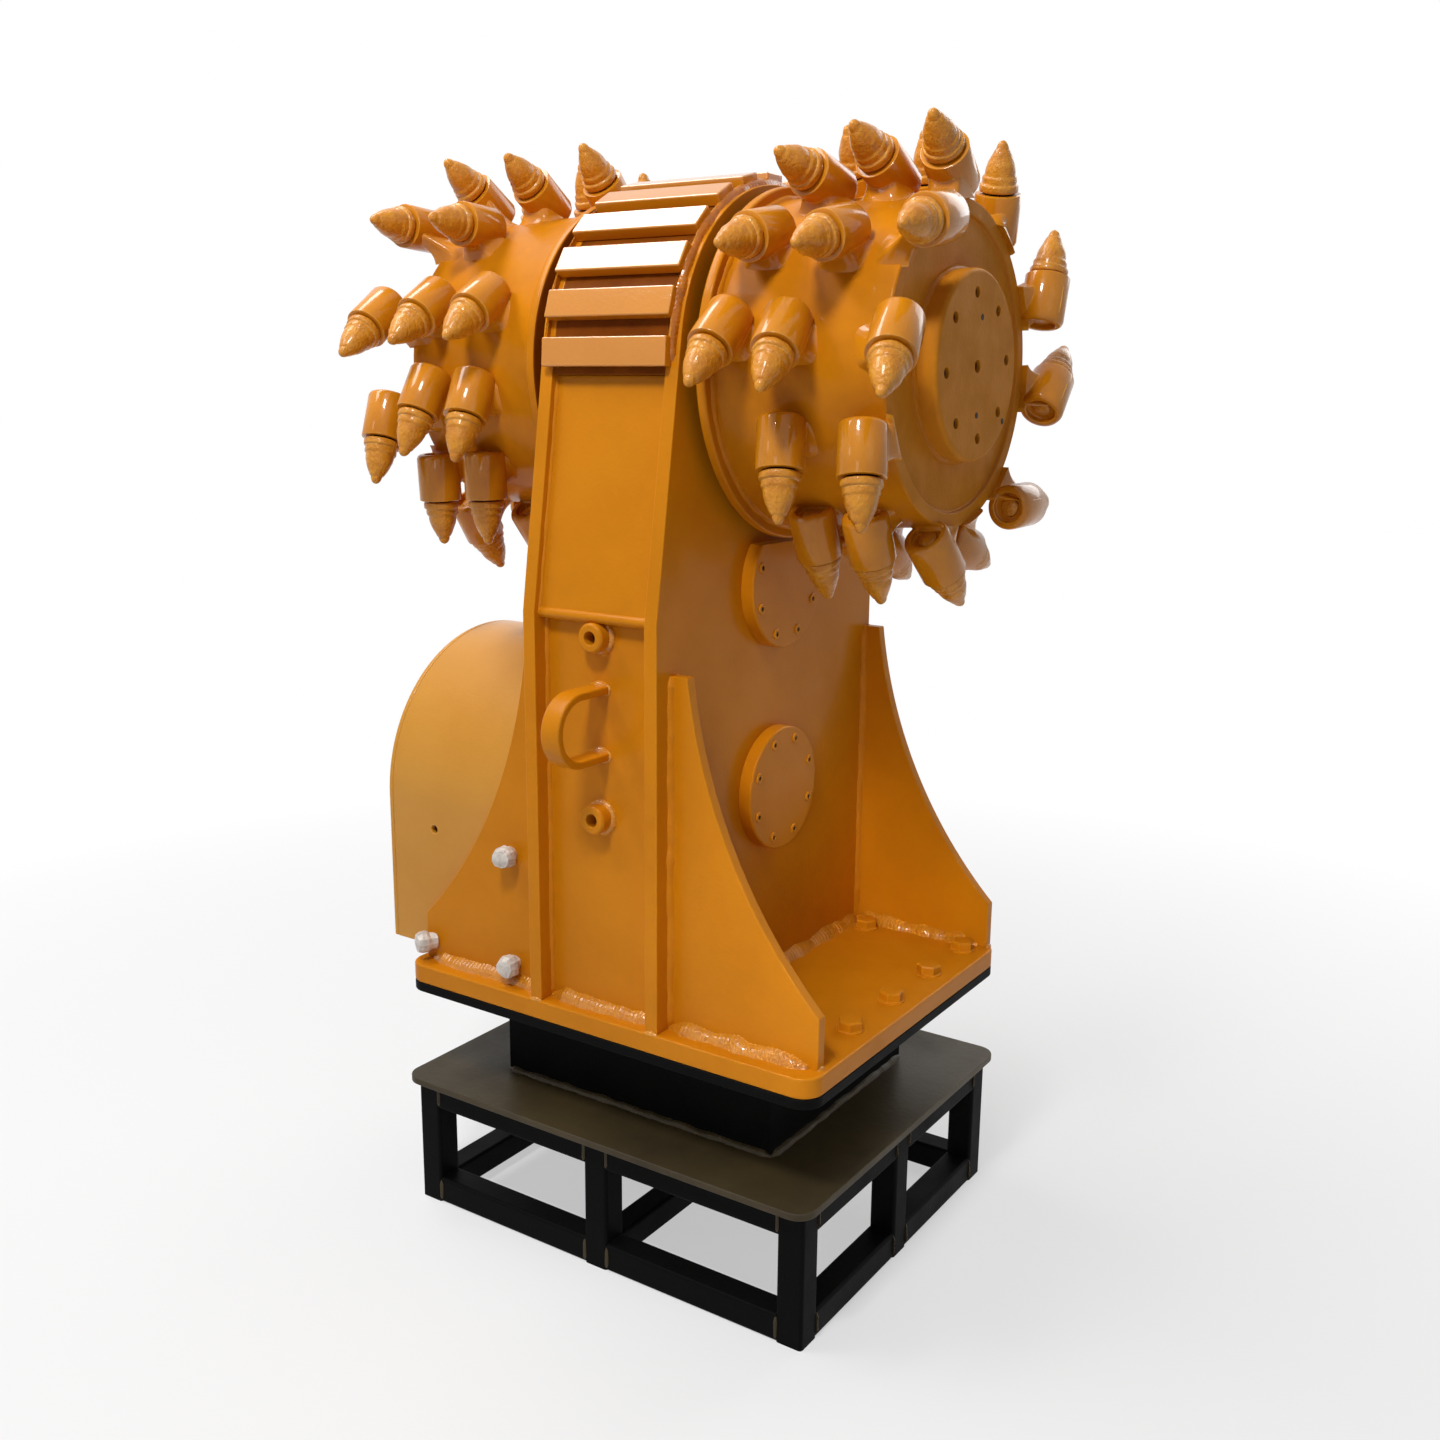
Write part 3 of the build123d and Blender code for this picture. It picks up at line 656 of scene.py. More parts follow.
@dataclass
class BasePlates:
    """Base flange on its adapter plate, with the bolts between them."""

    bolt_x: float = 0.312
    pitch_y: float = 0.119
    rear_x: float = 0.145
    rear_y: float = 0.236
    across: float = 0.030
    head: float = 0.0125
    chamfer: float = 0.002
    head_turn: float = 0.7
    washer: float = 0.0185
    washer_height: float = 0.003
    washer_edge: float = 0.0006
    washer_sink: float = 0.0004
    nut: float = 0.016
    nut_turn: float = 1.1
    bolt: float = 0.010
    bolt_end: float = 0.004
    bolt_edge: float = 0.001

    def dress(self) -> None:
        """Finishes both plates."""
        dress("base_flange", ENAMEL, edge=0.003)
        dress("adapter_plate", BLACK_SATIN, edge=0.0015)

    def places(self, sign: int) -> list[tuple[float, float]]:
        """Bolt centres on one side of the column.

        Args:
            sign: -1 for the left side, 1 for the right one.

        Returns:
            The centres along X and Y.
        """
        rows = [(self.bolt_x, row * self.pitch_y) for row in (-1, 0, 1)]
        rows += [(self.rear_x, self.rear_y), (self.bolt_x, self.rear_y)]
        return [(sign * x, y) for x, y in rows]

    def bolts(self) -> None:
        """Adds painted heads on the flange and black nuts under the adapter plate."""
        heads = Shape()
        nuts = Shape()
        top = Box.of("base_flange").high.z
        bottom = Box.of("adapter_plate").low.z
        washer = [(self.washer, -self.washer_sink), (self.washer, self.washer_height - self.washer_edge),
                  (self.washer - self.washer_edge, self.washer_height)]
        raised = Matrix.Translation(Z * self.washer_height)
        end = self.washer_height + self.nut + self.bolt_end
        bolt = [(self.bolt, 0.0), (self.bolt, end - self.bolt_edge), (self.bolt - self.bolt_edge, end)]
        for index, (x, y) in enumerate(self.places(1)):
            across = Matrix.Rotation(self.head_turn * index, 3, "Z") @ X
            seat = frame_at(Vector((x, y, top)), Z, across)
            heads.turn(washer, seat, steps=28)
            heads.hexagon(seat @ raised, self.across, self.head, self.chamfer)
        for sign in (-1, 1):
            for index, (x, y) in enumerate(self.places(sign)):
                across = Matrix.Rotation(self.nut_turn * index, 3, "Z") @ X
                seat = frame_at(Vector((x, y, bottom)), -Z, across)
                nuts.turn(washer, seat, steps=28)
                nuts.hexagon(seat @ raised, self.across, self.nut, self.chamfer)
                nuts.turn(bolt, seat, steps=20)
        heads.piece("flange_bolt_heads", ENAMEL, Body.HEAD, Slot.YELLOW)
        nuts.piece("flange_nuts", BLACK_SATIN, Body.HEAD, Slot.BLACK)


@dataclass
class Column:
    """Column of two side plates with its panels, arch, wear bars and gussets."""

    plate: float = 0.020
    corner_leg: float = 0.005
    upper_share: float = 0.8
    gusset_leg: float = 0.007
    foot_leg: float = 0.014
    bar_leg: float = 0.0075
    strip: float = 0.0075
    strip_sink: float = 0.0035
    strip_lumps: float = 0.0006
    edge_leg: float = 0.004
    nodes: tuple[str, ...] = (
        "side_plate_left", "side_plate_right", "front_panel_lower", "front_panel_upper",
        "rear_panel_lower", "rear_panel_upper", "gusset_front_left",
        "gusset_front_right", "gusset_rear_left", "gusset_rear_right")

    def dress(self) -> None:
        """Finishes the plates, panels, bars, the sheet under them in a dark painted shade, and the plain
        block inside.
        """
        for node in self.nodes:
            dress(node, ENAMEL)
        # Sheet between the bars: painted shade
        dress("arch_sheet", GAP_PAINTED_SHADE)
        dress("wear_bars", BAR_ENAMEL, edge=0.0022)
        dress("gear_train", CAST_IRON)

    def gusset_welds(self, feet: Shape, seams: Shape) -> None:
        """Lays the beads along each gusset's foot, its toe and its upright edge.

        Args:
            feet: the bright beads on the base flange.
            seams: the plain beads between the plates.
        """
        for row in ("front", "rear"):
            for side in Side:
                sign = side.value
                box = Box.of(f"gusset_{row}_{side.label}")
                level = box.low.z
                near, far = sorted((box.low.x, box.high.x), key=abs)
                for y, face in ((box.low.y, -Y), (box.high.y, Y)):
                    heel = Vector((near, y, level))
                    foot_end = Vector((far - sign * self.foot_leg, y, level))
                    feet.line(heel, foot_end, face, Z, self.foot_leg)
                    seams.line(heel, Vector((near, y, box.high.z)), face, X * sign, self.gusset_leg)
                toe = Vector((far, box.low.y, level))
                feet.line(toe, Vector((far, box.high.y, level)), X * sign, Z, self.edge_leg)

    def column_welds(self, feet: Shape, seams: Shape) -> None:
        """Lays the beads round the column's foot, in the panel corners and at the knee.

        Args:
            feet: the bright beads on the base flange.
            seams: the plain beads between the plates.
        """
        plate = Box.of("side_plate_right")
        level = plate.low.z
        outside = plate.high.x
        inside = plate.low.x
        front_gusset = Box.of("gusset_front_right").high.y
        rear_gusset = Box.of("gusset_rear_right").low.y
        for sign in (-1, 1):
            ahead = Vector((sign * outside, front_gusset, level))
            behind = Vector((sign * outside, rear_gusset, level))
            feet.line(ahead, behind, X * sign, Z, self.foot_leg)
        for name, sign in (("front", -1), ("rear", 1)):
            lower = Box.of(name + "_panel_lower")
            upper = Box.of(name + "_panel_upper")
            face, lip, edge = (box.face(1, sign) for box in (lower, upper, plate))
            out = Y * sign
            feet.line(Vector((-inside, face, level)), Vector((inside, face, level)), out, Z, self.foot_leg)
            knee = lower.high.z
            strip = frame_at(Vector((-inside, lip - sign * self.strip_sink, knee)), X, Z)
            rod = [(self.strip, along) for along in (0.0, inside, 2 * inside)]
            seams.turn(rod, strip, steps=24, lumps=self.strip_lumps)
            slope = self.upper_slope(name + "_panel_upper", sign)
            reach = (upper.high.z - knee) / slope.z
            for way in (-1, 1):
                x = way * inside
                foot = Vector((x, edge, level))
                feet.line(foot, foot + X * way * self.plate, out, Z, self.edge_leg)
                corner = Vector((x, face, level))
                seams.line(corner, Vector((x, face, knee)), out, X * -way, self.corner_leg)
                start = Vector((x, lip, knee))
                seams.line(start, start + slope * reach, slope.cross(X) * sign, X * -way,
                           self.corner_leg * self.upper_share)

    @staticmethod
    def upper_slope(node: str, sign: int) -> Vector:
        """Direction of an upper panel's outer face, upwards.

        Args:
            node: name of the panel.
            sign: -1 for the front panel, 1 for the rear one.

        Returns:
            The direction.
        """
        box = Box.of(node)
        points = [v.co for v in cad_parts[node].data.vertices]
        low = max((p for p in points if p.z < box.low.z + ON_LEVEL), key=lambda p: p.y * sign)
        high = max((p for p in points if p.z > box.high.z - ON_LEVEL), key=lambda p: p.y * sign)
        return Vector((0.0, high.y - low.y, high.z - low.z)).normalized()

    def bar_welds(self, shape: Shape) -> None:
        """Lays a rough bead over the rim of each side plate beside the wear bars, in a darker brown that
        paints the shade there.

        Args:
            shape: the welds beside the bars.
        """
        plate = Box.of("side_plate_right")
        bars = Box.of("wear_bars")
        shaft = Box.of("drum_shaft").middle
        radius = plate.high.z - shaft.z
        for sign in (-1, 1):
            arch = half_ring(Vector((sign * bars.high.x, shaft.y, shaft.z)), radius)
            shape.bead([(corner, X * sign, out) for corner, out in arch], self.bar_leg)

    def welds(self) -> None:
        """Lays the welds of the head in three pieces, each with its own finish."""
        feet, seams, rims = Shape(), Shape(), Shape()
        self.gusset_welds(feet, seams)
        self.column_welds(feet, seams)
        self.bar_welds(rims)
        feet.piece("foot_welds", WELD_ENAMEL, Body.HEAD, Slot.YELLOW, sharp=WELD.sharp)
        seams.piece("seam_welds", ENAMEL, Body.HEAD, Slot.YELLOW, sharp=WELD.sharp)
        # Darker brown beads: painted shade beside the bars
        rims.piece("bar_welds", RIM_PAINTED_SHADE, Body.HEAD, Slot.YELLOW, sharp=WELD.sharp)


@dataclass
class BearingCovers:
    """Round bearing covers on the side plates, with their screws."""

    nodes: tuple[str, ...] = (
        "bearing_cover_lower_right", "bearing_cover_upper_right", "bearing_cover_upper_left")
    count: int = 8
    circle: float = 0.073
    screw: float = 0.0075
    proud: float = 0.0022
    socket: float = 0.0036
    edge: float = 0.0008
    sink: float = 0.001
    floor: float = 0.0002
    keep: float = 0.012

    def dress(self) -> None:
        """Finishes the covers."""
        for node in self.nodes:
            dress(node, ENAMEL, edge=0.001)

    def screws(self) -> None:
        """Adds the socket screws that the flat cut of a cover leaves room for."""
        heads = Shape()
        sockets = Shape()
        head = [(self.screw, -self.sink), (self.screw, self.proud - self.edge),
                (self.screw - self.edge, self.proud), (self.socket, self.proud), (self.socket, self.floor)]
        # Dark disc deep in each socket: painted shade
        key = [(self.socket - self.floor, 2 * self.floor), (self.socket - self.floor, 4 * self.floor)]
        for node in self.nodes:
            box = Box.of(node)
            sign = 1 if box.high.x > 0 else -1
            centre = Vector((box.face(0, sign), 0.0, box.low.z + box.high.y))
            for step in range(self.count):
                angle = math.tau * (step + 0.5) / self.count
                spot = centre + Vector((0.0, math.cos(angle), math.sin(angle))) * self.circle
                if spot.z > box.high.z - self.keep:
                    continue
                place = frame_at(spot, X * sign, Y)
                heads.turn(head, place, steps=18)
                sockets.turn(key, place, steps=6)
        heads.piece("cover_screws", ENAMEL, Body.HEAD, Slot.YELLOW)
        sockets.piece("cover_screw_sockets", RECESS_SHADE, Body.HEAD, Slot.STEEL)


@dataclass
class FrontFittings:
    """Oil ports, lifting eye and wrapped hose unions on the front."""

    port_bore: float = 0.0089
    bore_floor: tuple[float, float] = (0.0005, 0.004)
    port_weld: float = 0.006
    eye_width: float = 0.030
    eye_bar: float = 0.011
    eye_weld: float = 0.006
    wrap_profile: Profile = (
        (0.0120, -0.0020), (0.0120, 0.0070), (0.01419, 0.0080), (0.0165, 0.0130), (0.016005, 0.02088),
        (0.01287, 0.02697), (0.00495, 0.0290))
    wrap_turn: float = 0.6
    crumple: float = 0.0034
    crumple_size: float = 0.011
    facets: float = 14.0
    leans: tuple[float, ...] = (-0.5, 0.1, 0.1)

    def dress(self) -> None:
        """Finishes the ports and the lifting eye."""
        dress("oil_ports", ENAMEL, edge=0.0012)
        dress("lifting_eye", ENAMEL, edge=0.003)

    def details(self) -> None:
        """Adds dark discs of painted shade in the port bores, and the welds of the ports and the eye."""
        welds = Shape()
        bores = Shape()
        panel = Box.of("front_panel_lower").low.y
        ports = Box.of("oil_ports")
        radius = ports.high.x
        for z in (ports.low.z + radius, ports.high.z - radius):
            place = frame_at(Vector((0.0, panel, z)), -Y, X)
            welds.bead(ring_weld(place, radius), self.port_weld, loop=True)
            # Dark disc deep in the bore: painted shade
            bores.turn([(self.port_bore, level) for level in self.bore_floor], place, steps=28)
        eye = Box.of("lifting_eye")
        half = self.eye_width / 2
        for z, way in ((eye.high.z, 1), (eye.low.z, -1)):
            outer = Vector((0.0, panel, z))
            inner = outer - Z * way * self.eye_bar
            for level, face in ((outer, Z * way), (inner, -Z * way)):
                welds.line(level - X * half, level + X * half, face, -Y, self.eye_weld)
            for side in (X, -X):
                welds.line(outer + side * half, inner + side * half, side, -Y, self.eye_weld)
        welds.piece("fitting_welds", WELD_ENAMEL, Body.HEAD, Slot.YELLOW, sharp=WELD.sharp)
        bores.piece("port_bores", RECESS_SHADE, Body.HEAD, Slot.STEEL)

    def wraps(self) -> None:
        """Adds the crumpled wraps over the hose unions."""
        shape = Shape()
        face = Box.of("hose_unions").high.y
        centres = [sum(part, Vector()) / len(part) for part in islands("hose_unions")]
        ordered = sorted(centres, key=lambda centre: centre.x)
        for index, (centre, lean) in enumerate(zip(ordered, self.leans)):
            along = Matrix.Rotation(lean, 3, "Z") @ -Y
            place = frame_at(Vector((centre.x, face, centre.z)), along, X)
            place @= Matrix.Rotation(self.wrap_turn * index, 4, "Z")
            shape.turn(self.wrap_profile, place, steps=11, lumps=self.crumple, lump_size=self.crumple_size)
        shape.piece("wrapped_unions", WRAP_FILM, Body.HEAD, Slot.PLUG, sharp=self.facets,
                    stands_for=["hose_unions"])


@dataclass
class MotorSide:
    """Motor guard on the left, with the motor inside."""

    seam_leg: float = 0.006

    def dress(self) -> None:
        """Finishes the guard and the motor."""
        dress("motor_guard", GUARD_ENAMEL)
        dress("motor_guard_end", GUARD_ENAMEL, edge=0.002)
        dress("hydraulic_motor", CAST_IRON)

    def welds(self) -> None:
        """Lays the seam between the guard and the side plate."""
        guard = Box.of("motor_guard")
        half = guard.high.y
        x = guard.high.x
        crown = guard.high.z - half
        shape = Shape()
        stations = straight(Vector((x, -half, guard.low.z)), Vector((x, -half, crown)), -Y, -X)
        arch = half_ring(Vector((x, 0.0, crown)), half)
        stations += [(corner, out, -X) for corner, out in arch[1:-1]]
        stations += straight(Vector((x, half, crown)), Vector((x, half, guard.low.z)), Y, -X)
        shape.bead(stations, self.seam_leg)
        shape.piece("guard_welds", WELD_ENAMEL, Body.HEAD, Slot.YELLOW, sharp=WELD.sharp)


@dataclass(frozen=True)
class PickPlace:
    """Place of one pick: its sleeve's mouth, its axis and the ways towards the drum and across."""

    mouth: Vector
    along: Vector
    inward: Vector
    across: Vector

    def point(self, inward: float, across: float, along: float) -> Vector:
        """Point in the frame from local distances."""
        return self.mouth + self.inward * inward + self.across * across + self.along * along

    def matrix(self) -> Matrix:
        """Place of the sleeve's mouth, Z along the pick."""
        return frame_at(self.mouth, self.along, self.inward)


@dataclass(frozen=True)
class Sleeve:
    """Sizes of a pick's sleeve, measured from its mouth."""

    radius: float = 0.030
    length: float = 0.066
    bore: float = 0.013
    recess: float = 0.020
    recess_depth: float = 0.009
    seat: float = 0.0205
    seat_depth: float = 0.010
    edge: float = 0.001
    waist: float = -0.030
    lumps: float = 0.0004
    rear_round: Profile = ((0.005, 0.0), (0.0018, 0.002), (0.0, 0.006))
    mouth_round: Profile = ((0.0, -0.0010), (0.0003, -0.0003), (0.0010, 0.0))

    def profile(self) -> list[tuple[float, float]]:
        """Outlines the sleeve.

        Returns:
            Radius and height of each corner, from the recess behind, round the outside, to the seat.
        """
        rear = -self.length
        back = rear + self.recess_depth
        inside = [(self.bore, back), (self.recess - self.edge, back), (self.recess, back - self.edge),
                  (self.recess, rear + self.edge), (self.recess + self.edge, rear)]
        outside = [(self.radius - inset, rear + rise) for inset, rise in self.rear_round]
        outside.append((self.radius, self.waist))
        outside += [(self.radius - inset, rise) for inset, rise in self.mouth_round]
        seat = [(self.seat + self.edge, 0.0), (self.seat, -self.edge), (self.seat, -self.seat_depth),
                (self.bore, -self.seat_depth)]
        return inside + outside + seat


@dataclass(frozen=True)
class Foot:
    """Sizes of the foot under a sleeve, narrow in front and flared where it meets the drum."""

    top: float = 0.010
    front: float = -0.004
    front_half: float = 0.020
    back: float = -0.0640
    back_half: float = 0.0292
    flare: float = 0.011
    flare_power: int = 4
    roundness: float = 0.45
    lumps: float = 0.0011
    lump_size: float = 0.012
    corners: int = 40
    levels: tuple[float, ...] = (0.0, 0.2, 0.4, 0.58, 0.72, 0.84, 0.93, 1.0)


@dataclass(frozen=True)
class Pick:
    """Sizes of a pick, measured from its sleeve's mouth: shank, neck, collar, ring, cone and tip."""

    length: float = 0.065
    shank: float = 0.0126
    shank_edge: float = 0.002
    shank_ends: tuple[float, float] = (-0.061, -0.011)
    neck: float = 0.0178
    neck_ends: tuple[float, float] = (-0.0098, 0.0032)
    lumps: float = 0.0007
    lump_size: float = 0.008
    profile: Profile = (
        (0.0178, 0.0026), (0.0244, 0.0027), (0.0252, 0.0035), (0.0254, 0.0060), (0.0254, 0.0100),
        (0.0250, 0.0112), (0.0236, 0.0122), (0.0226, 0.0128), (0.0224, 0.0150), (0.0224, 0.0190),
        (0.0220, 0.0208), (0.0206, 0.0222), (0.0201, 0.0236), (0.0198, 0.0270), (0.0192, 0.0310),
        (0.0181, 0.0350), (0.0166, 0.0390), (0.0148, 0.0430), (0.0129, 0.0470), (0.0111, 0.0506),
        (0.0100, 0.0528), (0.0092, 0.0538), (0.0082, 0.0545), (0.0077, 0.0575), (0.0063, 0.0608),
        (0.0044, 0.0632), (0.0020, 0.0646), (0.0006, 0.0650))

    def shank_profile(self) -> list[tuple[float, float]]:
        """Outlines the shank.

        Returns:
            Radius and height of each corner, from its chamfered end.
        """
        rear, front = self.shank_ends
        edge = self.shank_edge
        return [(self.shank - edge, rear), (self.shank, rear + edge), (self.shank, front)]


@dataclass(frozen=True)
class EndCover:
    """Sizes of the holes of a drum's end cover, and of the small dark discs of painted shade at its three
    small holes.
    """

    count: int = 8
    turn: float = 6.0
    circle: float = 0.089
    hole: float = 0.0068
    middle_hole: float = 0.0078
    hole_ends: tuple[float, float] = (-0.0148, -0.0050)
    screw: float = 0.004
    screw_ends: tuple[float, float] = (-0.001, 0.0004)
    screws: Profile = ((1.45, 0.060), (4.75, 0.060), (5.6, 0.108))  # angle and distance from the axis

    def bottoms(self, shape: Shape, face: Vector, out: Vector) -> None:
        """Adds dark discs of painted shade at the bottoms of the holes and on the face at the three small
        holes.

        Args:
            shape: the dark pieces.
            face: middle of the cover's face.
            out: way out of the face.
        """
        first = math.radians(self.turn)
        # Each row below is a dark disc of painted shade: deep in a hole, or on the face at a small hole
        # angle, distance from the axis, radius, ends, corners
        rows = [(first + math.tau * i / self.count, self.circle, self.hole, self.hole_ends, 20)
                for i in range(self.count)]
        rows.append((0.0, 0.0, self.middle_hole, self.hole_ends, 24))
        rows += [(angle, away, self.screw, self.screw_ends, 16) for angle, away in self.screws]
        for angle, away, radius, ends, steps in rows:
            spot = face + Vector((0.0, math.cos(angle), math.sin(angle))) * away
            shape.turn([(radius, end) for end in ends], frame_at(spot, out, Y), steps)


@dataclass
class Drum:
    """One drum with its end cover, pick holders and picks."""

    side: Side
    sleeve: Sleeve = Sleeve()
    base: Foot = Foot()
    pick: Pick = Pick()
    cover: EndCover = EndCover()
    end_inset: float = 0.006
    end_hang: float = 0.008
    taper: float = 0.010
    sink: float = 0.003
    seam_leg: float = 0.005
    cover_sink: float = 0.006
    flat: float = 0.9
    sharp: float = 50.0

    def __post_init__(self) -> None:
        """Reads the drum's axis, ends and picks from the frame."""
        label = self.side.label
        shell = Box.of("drum_shell_" + label)
        ends = sorted((abs(shell.low.x), abs(shell.high.x)))
        self.start, self.end = ends
        self.root = shell.high.z - shell.middle.z
        self.axis = Vector((0.0, shell.middle.y, shell.middle.z))
        self.places = [self.read_place(part) for part in islands("picks_" + label)]

    def read_place(self, part: list[Vector]) -> PickPlace:
        """Finds a pick's place from the points of its solid.

        Args:
            part: points of the solid.

        Returns:
            The place.
        """
        points = np.array(part)
        middle = points.mean(axis=0)
        along = Vector(np.linalg.svd(points - middle)[2][0])
        centre = Vector(middle)
        outward = centre - self.axis
        outward.x = 0.0
        if along.dot(outward) < 0:
            along.negate()
        reach = max((p - centre).dot(along) for p in part)
        inward = along.cross(X).normalized()
        if inward.dot(outward) > 0:
            inward.negate()
        across = (X - along * along.x).normalized()
        return PickPlace(centre + along * (reach - self.pick.length), along, inward, across)

    def radius(self, x: float) -> float:
        """Drum radius at a distance from the column's middle plane."""
        share = (abs(x) - self.start) / (self.end - self.start)
        return self.root - self.taper * min(1.0, max(0.0, share))

    def below(self, point: Vector) -> Vector:
        """Finds the place on the drum straight below a point.

        Args:
            point: point of a holder.

        Returns:
            The place, sunk a little into the drum.
        """
        out = point - self.axis
        out.x = 0.0
        level = min(self.radius(point.x) - self.sink, out.length - self.sink)
        return self.axis + X * point.x + out.normalized() * level

    def foot(self, shape: Shape, place: PickPlace) -> None:
        """Adds the foot that carries a sleeve, narrow in front and flared where it meets the drum.

        Args:
            shape: the holders.
            place: place of the pick.
        """
        sign = self.side.value
        base = self.base
        middle = (base.front + base.back) / 2
        half_length = (base.front - base.back) / 2
        slide = max(0.0, place.point(0.0, 0.0, middle).x * sign + self.end_inset - self.end)
        front = base.back_half if slide else base.front_half
        ahead = X.cross(place.mouth - self.axis).normalized()
        ahead *= math.copysign(1.0, ahead.dot(place.along))
        rings = []
        for level in base.levels:
            flare = base.flare * level ** base.flare_power
            ring = []
            for corner in range(base.corners):
                angle = math.tau * corner / base.corners
                wide, down = (math.copysign(abs(way) ** base.roundness, way)
                              for way in (math.cos(angle), math.sin(angle)))
                half = front + (base.back_half - front) * (1 - down) / 2
                top = place.point(base.top, wide * half, middle + down * half_length)
                point = top.lerp(self.below(top - X * sign * slide), level)
                swell = flare + base.lumps * level * noise.noise(point / base.lump_size)
                point += (X * wide + ahead * down) * swell
                point.x -= sign * level * max(0.0, point.x * sign - self.end - self.end_hang)
                ring.append(point)
            rings.append(ring)
        shape.loft(rings)

    def holders(self) -> None:
        """Builds the sleeves on their feet, and the necks of the picks in them in a dark painted shade for
        the gap at each sleeve's mouth.
        """
        shape, necks = Shape(), Shape()
        neck = [(self.pick.neck, end) for end in self.pick.neck_ends]
        for place in self.places:
            shape.turn(self.sleeve.profile(), place.matrix(), steps=44, loop=True, lumps=self.sleeve.lumps)
            self.foot(shape, place)
            # Dark necks: painted shade in the gap between sleeve and collar
            necks.turn(neck, place.matrix(), steps=28)
        label = self.side.label
        shape.piece("holders_" + label, SLEEVE_ENAMEL, Body.DRUMS, Slot.YELLOW,
                    stands_for=["pick_holders_" + label])
        necks.piece("pick_neck_shade_" + label, RECESS_SHADE, Body.DRUMS, Slot.STEEL)

    def picks(self) -> None:
        """Builds the picks with their cast, painted surface and the shank's end behind the sleeve."""
        shape = Shape()
        pick = self.pick
        for place in self.places:
            shape.turn(pick.profile, place.matrix(), steps=36, lumps=pick.lumps, lump_size=pick.lump_size)
            shape.turn(pick.shank_profile(), place.matrix(), steps=24)
        label = self.side.label
        shape.piece("pick_bodies_" + label, PICK_ENAMEL, Body.DRUMS, Slot.PICK, sharp=self.sharp,
                    stands_for=["picks_" + label])

    def dress(self) -> None:
        """Finishes the drum's nodes, its duller end, and the back of its flange in a dark painted shade."""
        label = self.side.label
        dress("drum_shell_" + label, DRUM_ENAMEL, edge=0.003)
        dress("drum_flange_" + label, DRUM_ENAMEL, edge=0.003)
        dress("drum_end_cover_" + label, COVER_ENAMEL, edge=0.0008)
        self.tone("drum_shell_" + label, COVER_ENAMEL, self.side.value)
        # Flange faces towards the column: painted shade
        self.tone("drum_flange_" + label, GAP_PAINTED_SHADE, -self.side.value)

    def tone(self, node: str, finish: Finish, way: int) -> None:
        """Gives the flat faces of a node that look one way along X a finish of their own.

        Args:
            node: name of the node.
            finish: surface of those faces.
            way: 1 for faces that look along X, -1 for those against it.
        """
        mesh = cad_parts[node].data
        mesh.materials.append(finish.material())
        for face in mesh.polygons:
            if face.normal.x * way > self.flat:
                face.material_index = 1

    def details(self) -> None:
        """Adds the welds of the flange and the cover, and dark discs of painted shade at the bottoms of the
        cover's holes.
        """
        label = self.side.label
        out = X * self.side.value
        box = Box.of("drum_end_cover_" + label)
        welds, shades = Shape(), Shape()
        for along, radius in ((self.start, self.root), (self.end - self.cover_sink, box.high.y)):
            place = frame_at(self.axis + out * along, out, Y)
            welds.bead(ring_weld(place, radius), self.seam_leg, loop=True)
        welds.piece("drum_welds_" + label, DRUM_ENAMEL, Body.DRUMS, Slot.YELLOW, sharp=WELD.sharp)
        self.cover.bottoms(shades, self.axis + out * abs(box.face(0, self.side.value)), out)
        shades.piece("cover_hole_bottoms_" + label, RECESS_SHADE, Body.DRUMS, Slot.STEEL)


@dataclass
class DrumShaft:
    """Shaft between the drums."""

    edge: float = 0.001

    def dress(self) -> None:
        """Finishes the shaft."""
        dress("drum_shaft", BRIGHT_STEEL, self.edge)


@dataclass(frozen=True)
class Lamp:
    """A soft lamp: its width near X and its length, its watts, what it looks at and its beam in degrees."""

    name: str
    at: Point
    size: tuple[float, float]
    watts: float
    target: Point = (0.0, 0.0, 0.85)
    spread: float = 180.0

    def hang(self) -> None:
        """Hangs the lamp in the studio."""
        data = bpy.data.lights.new(self.name, "AREA")
        data.shape = "RECTANGLE"
        data.size, data.size_y = self.size
        data.energy = self.watts
        data.spread = math.radians(self.spread)
        made = bpy.data.objects.new(self.name, data)
        made.matrix_world = frame_at(Vector(self.at), Vector(self.at) - Vector(self.target), X)
        bpy.context.scene.collection.objects.link(made)


LAMPS = (
    Lamp("front_lamp", (0.35, -1.7, 2.9), (0.4, 0.4), 38.0),
    Lamp("key_lamp", (-1.1, -2.4, 2.0), (0.4, 0.4), 2.0),
    Lamp("low_lamp", (0.7, -2.6, 1.5), (0.5, 0.5), 2.0),
    Lamp("corner_lamp", (0.8, -1.6, 1.0), (0.4, 0.4), 0.34, (0.30, 0.15, 0.45), 28.0),
    Lamp("left_lamp", (-1.63, -0.6, 3.6), (0.7, 2.8), 72.0),
    Lamp("right_lamp", (3.0, -1.4, 2.4), (1.6, 1.6), 4.0),
    Lamp("rear_lamp", (0.5, 2.8, 2.6), (1.8, 1.8), 26.0),
)


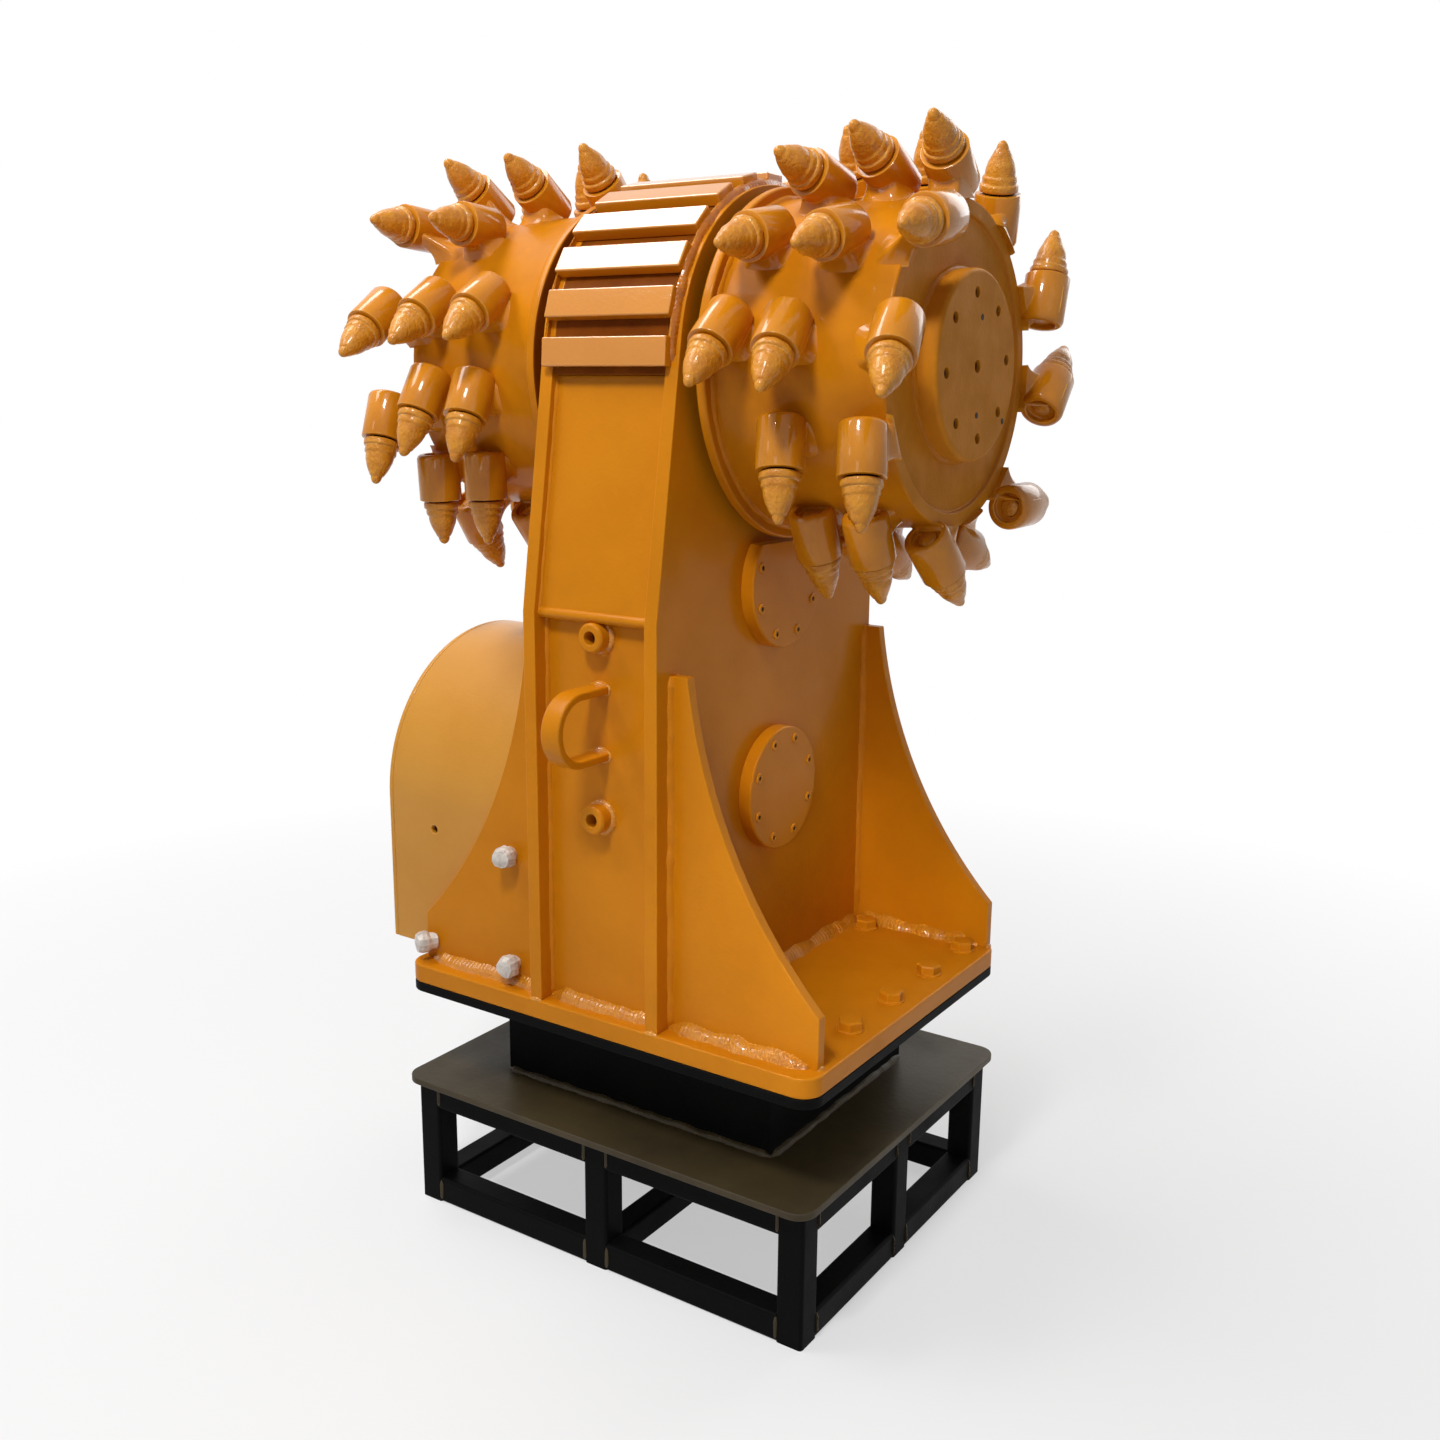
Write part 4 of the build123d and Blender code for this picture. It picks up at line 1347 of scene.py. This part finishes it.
@dataclass
class Studio:
    """Camera, floor, world and lamps."""

    camera_at: Point = (1.1837, -1.7436, 1.2193)
    yaw: float = 33.75
    pitch: float = 12.63
    roll: float = 0.51
    lens: float = 36.80
    sensor: float = 36.0
    floor_size: float = 60.0
    floor_grey: float = 0.86
    shadow_near: float = 0.5
    shadow_far: float = 2.4
    glow: float = 0.5
    ambient: float = 0.165

    def camera(self) -> None:
        """Sets the camera at the photograph's viewing angle."""
        yaw, pitch, roll = (math.radians(a) for a in (self.yaw, self.pitch, self.roll))
        level = Vector((math.cos(yaw), math.sin(yaw), 0.0))
        ahead = Z.cross(level) * math.cos(pitch) - Z * math.sin(pitch)
        up = level.cross(ahead)
        right = level * math.cos(roll) + up * math.sin(roll)
        data = bpy.data.cameras.new("camera")
        data.sensor_width = self.sensor
        data.lens = self.lens
        made = bpy.data.objects.new("camera", data)
        made.matrix_world = frame_at(Vector(self.camera_at), -ahead, right)
        bpy.context.scene.collection.objects.link(made)
        bpy.context.scene.camera = made

    @staticmethod
    def seen(nodes: Nodes) -> bpy.types.NodeSocket:
        """One for rays that show the background: camera, glossy and transmission rays.

        Args:
            nodes: nodes of the world or the floor.

        Returns:
            The factor.
        """
        path = nodes.add("ShaderNodeLightPath").outputs
        seen = path["Is Camera Ray"]
        for ray in ("Is Glossy Ray", "Is Transmission Ray"):
            seen = nodes.add("ShaderNodeMath", {0: seen, 1: path[ray]}, operation="MAXIMUM").outputs[0]
        return seen

    def world(self) -> None:
        """Sets a white background over a dimmer even light."""
        world = bpy.data.worlds.new("studio")
        world.use_nodes = True
        bpy.context.scene.world = world
        nodes = Nodes(world.node_tree)
        light = nodes.add("ShaderNodeBackground", {"Color": WHITE, "Strength": self.ambient}).outputs[0]
        white = nodes.add("ShaderNodeBackground", {"Color": WHITE, "Strength": 1.0}).outputs[0]
        mixed = nodes.add("ShaderNodeMixShader", {0: self.seen(nodes), 1: light, 2: white})
        nodes.add("ShaderNodeOutputWorld", {"Surface": mixed.outputs[0]})

    def floor(self) -> None:
        """Lays the pale floor that keeps the shadow."""
        half = self.floor_size / 2
        mesh = bpy.data.meshes.new("floor")
        mesh.from_pydata([(-half, -half, 0.0), (half, -half, 0.0), (half, half, 0.0), (-half, half, 0.0)],
                         [], [(0, 1, 2, 3)])
        material = bpy.data.materials.new("pale_floor")
        material.use_nodes = True
        nodes = Nodes(material.node_tree)
        grey = self.floor_grey
        matt = nodes.add("ShaderNodeBsdfDiffuse", {"Color": (grey, grey, grey, 1.0)}).outputs[0]
        glow = nodes.add("ShaderNodeEmission", {"Color": WHITE, "Strength": 1.0}).outputs[0]
        place = nodes.add("ShaderNodeTexCoord").outputs["Object"]
        away = nodes.add("ShaderNodeVectorMath", {0: place}, operation="LENGTH").outputs["Value"]
        share = nodes.span(away, self.shadow_near, self.shadow_far, self.glow, 1.0)
        shown = nodes.add("ShaderNodeMath", {0: self.seen(nodes), 1: share}, operation="MULTIPLY")
        mixed = nodes.add("ShaderNodeMixShader", {0: shown.outputs[0], 1: matt, 2: glow})
        nodes.add("ShaderNodeOutputMaterial", {"Surface": mixed.outputs[0]})
        mesh.materials.append(material)
        made = bpy.data.objects.new("floor", mesh)
        bpy.context.scene.collection.objects.link(made)

    def build(self) -> None:
        """Sets up the whole studio."""
        bpy.context.scene.view_settings.view_transform = "Standard"
        self.camera()
        self.world()
        self.floor()
        for lamp in LAMPS:
            lamp.hang()


def main() -> None:
    """Builds the head on its stand, piece by piece, and then the studio."""
    logging.basicConfig(level=logging.INFO, format="%(message)s")
    stand = Stand()
    stand.dress()
    stand.welds()
    plates = BasePlates()
    plates.dress()
    plates.bolts()
    column = Column()
    column.dress()
    column.welds()
    covers = BearingCovers()
    covers.dress()
    covers.screws()
    fittings = FrontFittings()
    fittings.dress()
    fittings.details()
    fittings.wraps()
    motor = MotorSide()
    motor.dress()
    motor.welds()
    DrumShaft().dress()
    for side in Side:
        drum = Drum(side)
        drum.dress()
        drum.details()
        drum.holders()
        drum.picks()
    Studio().build()


if __name__ == "__main__":
    main()
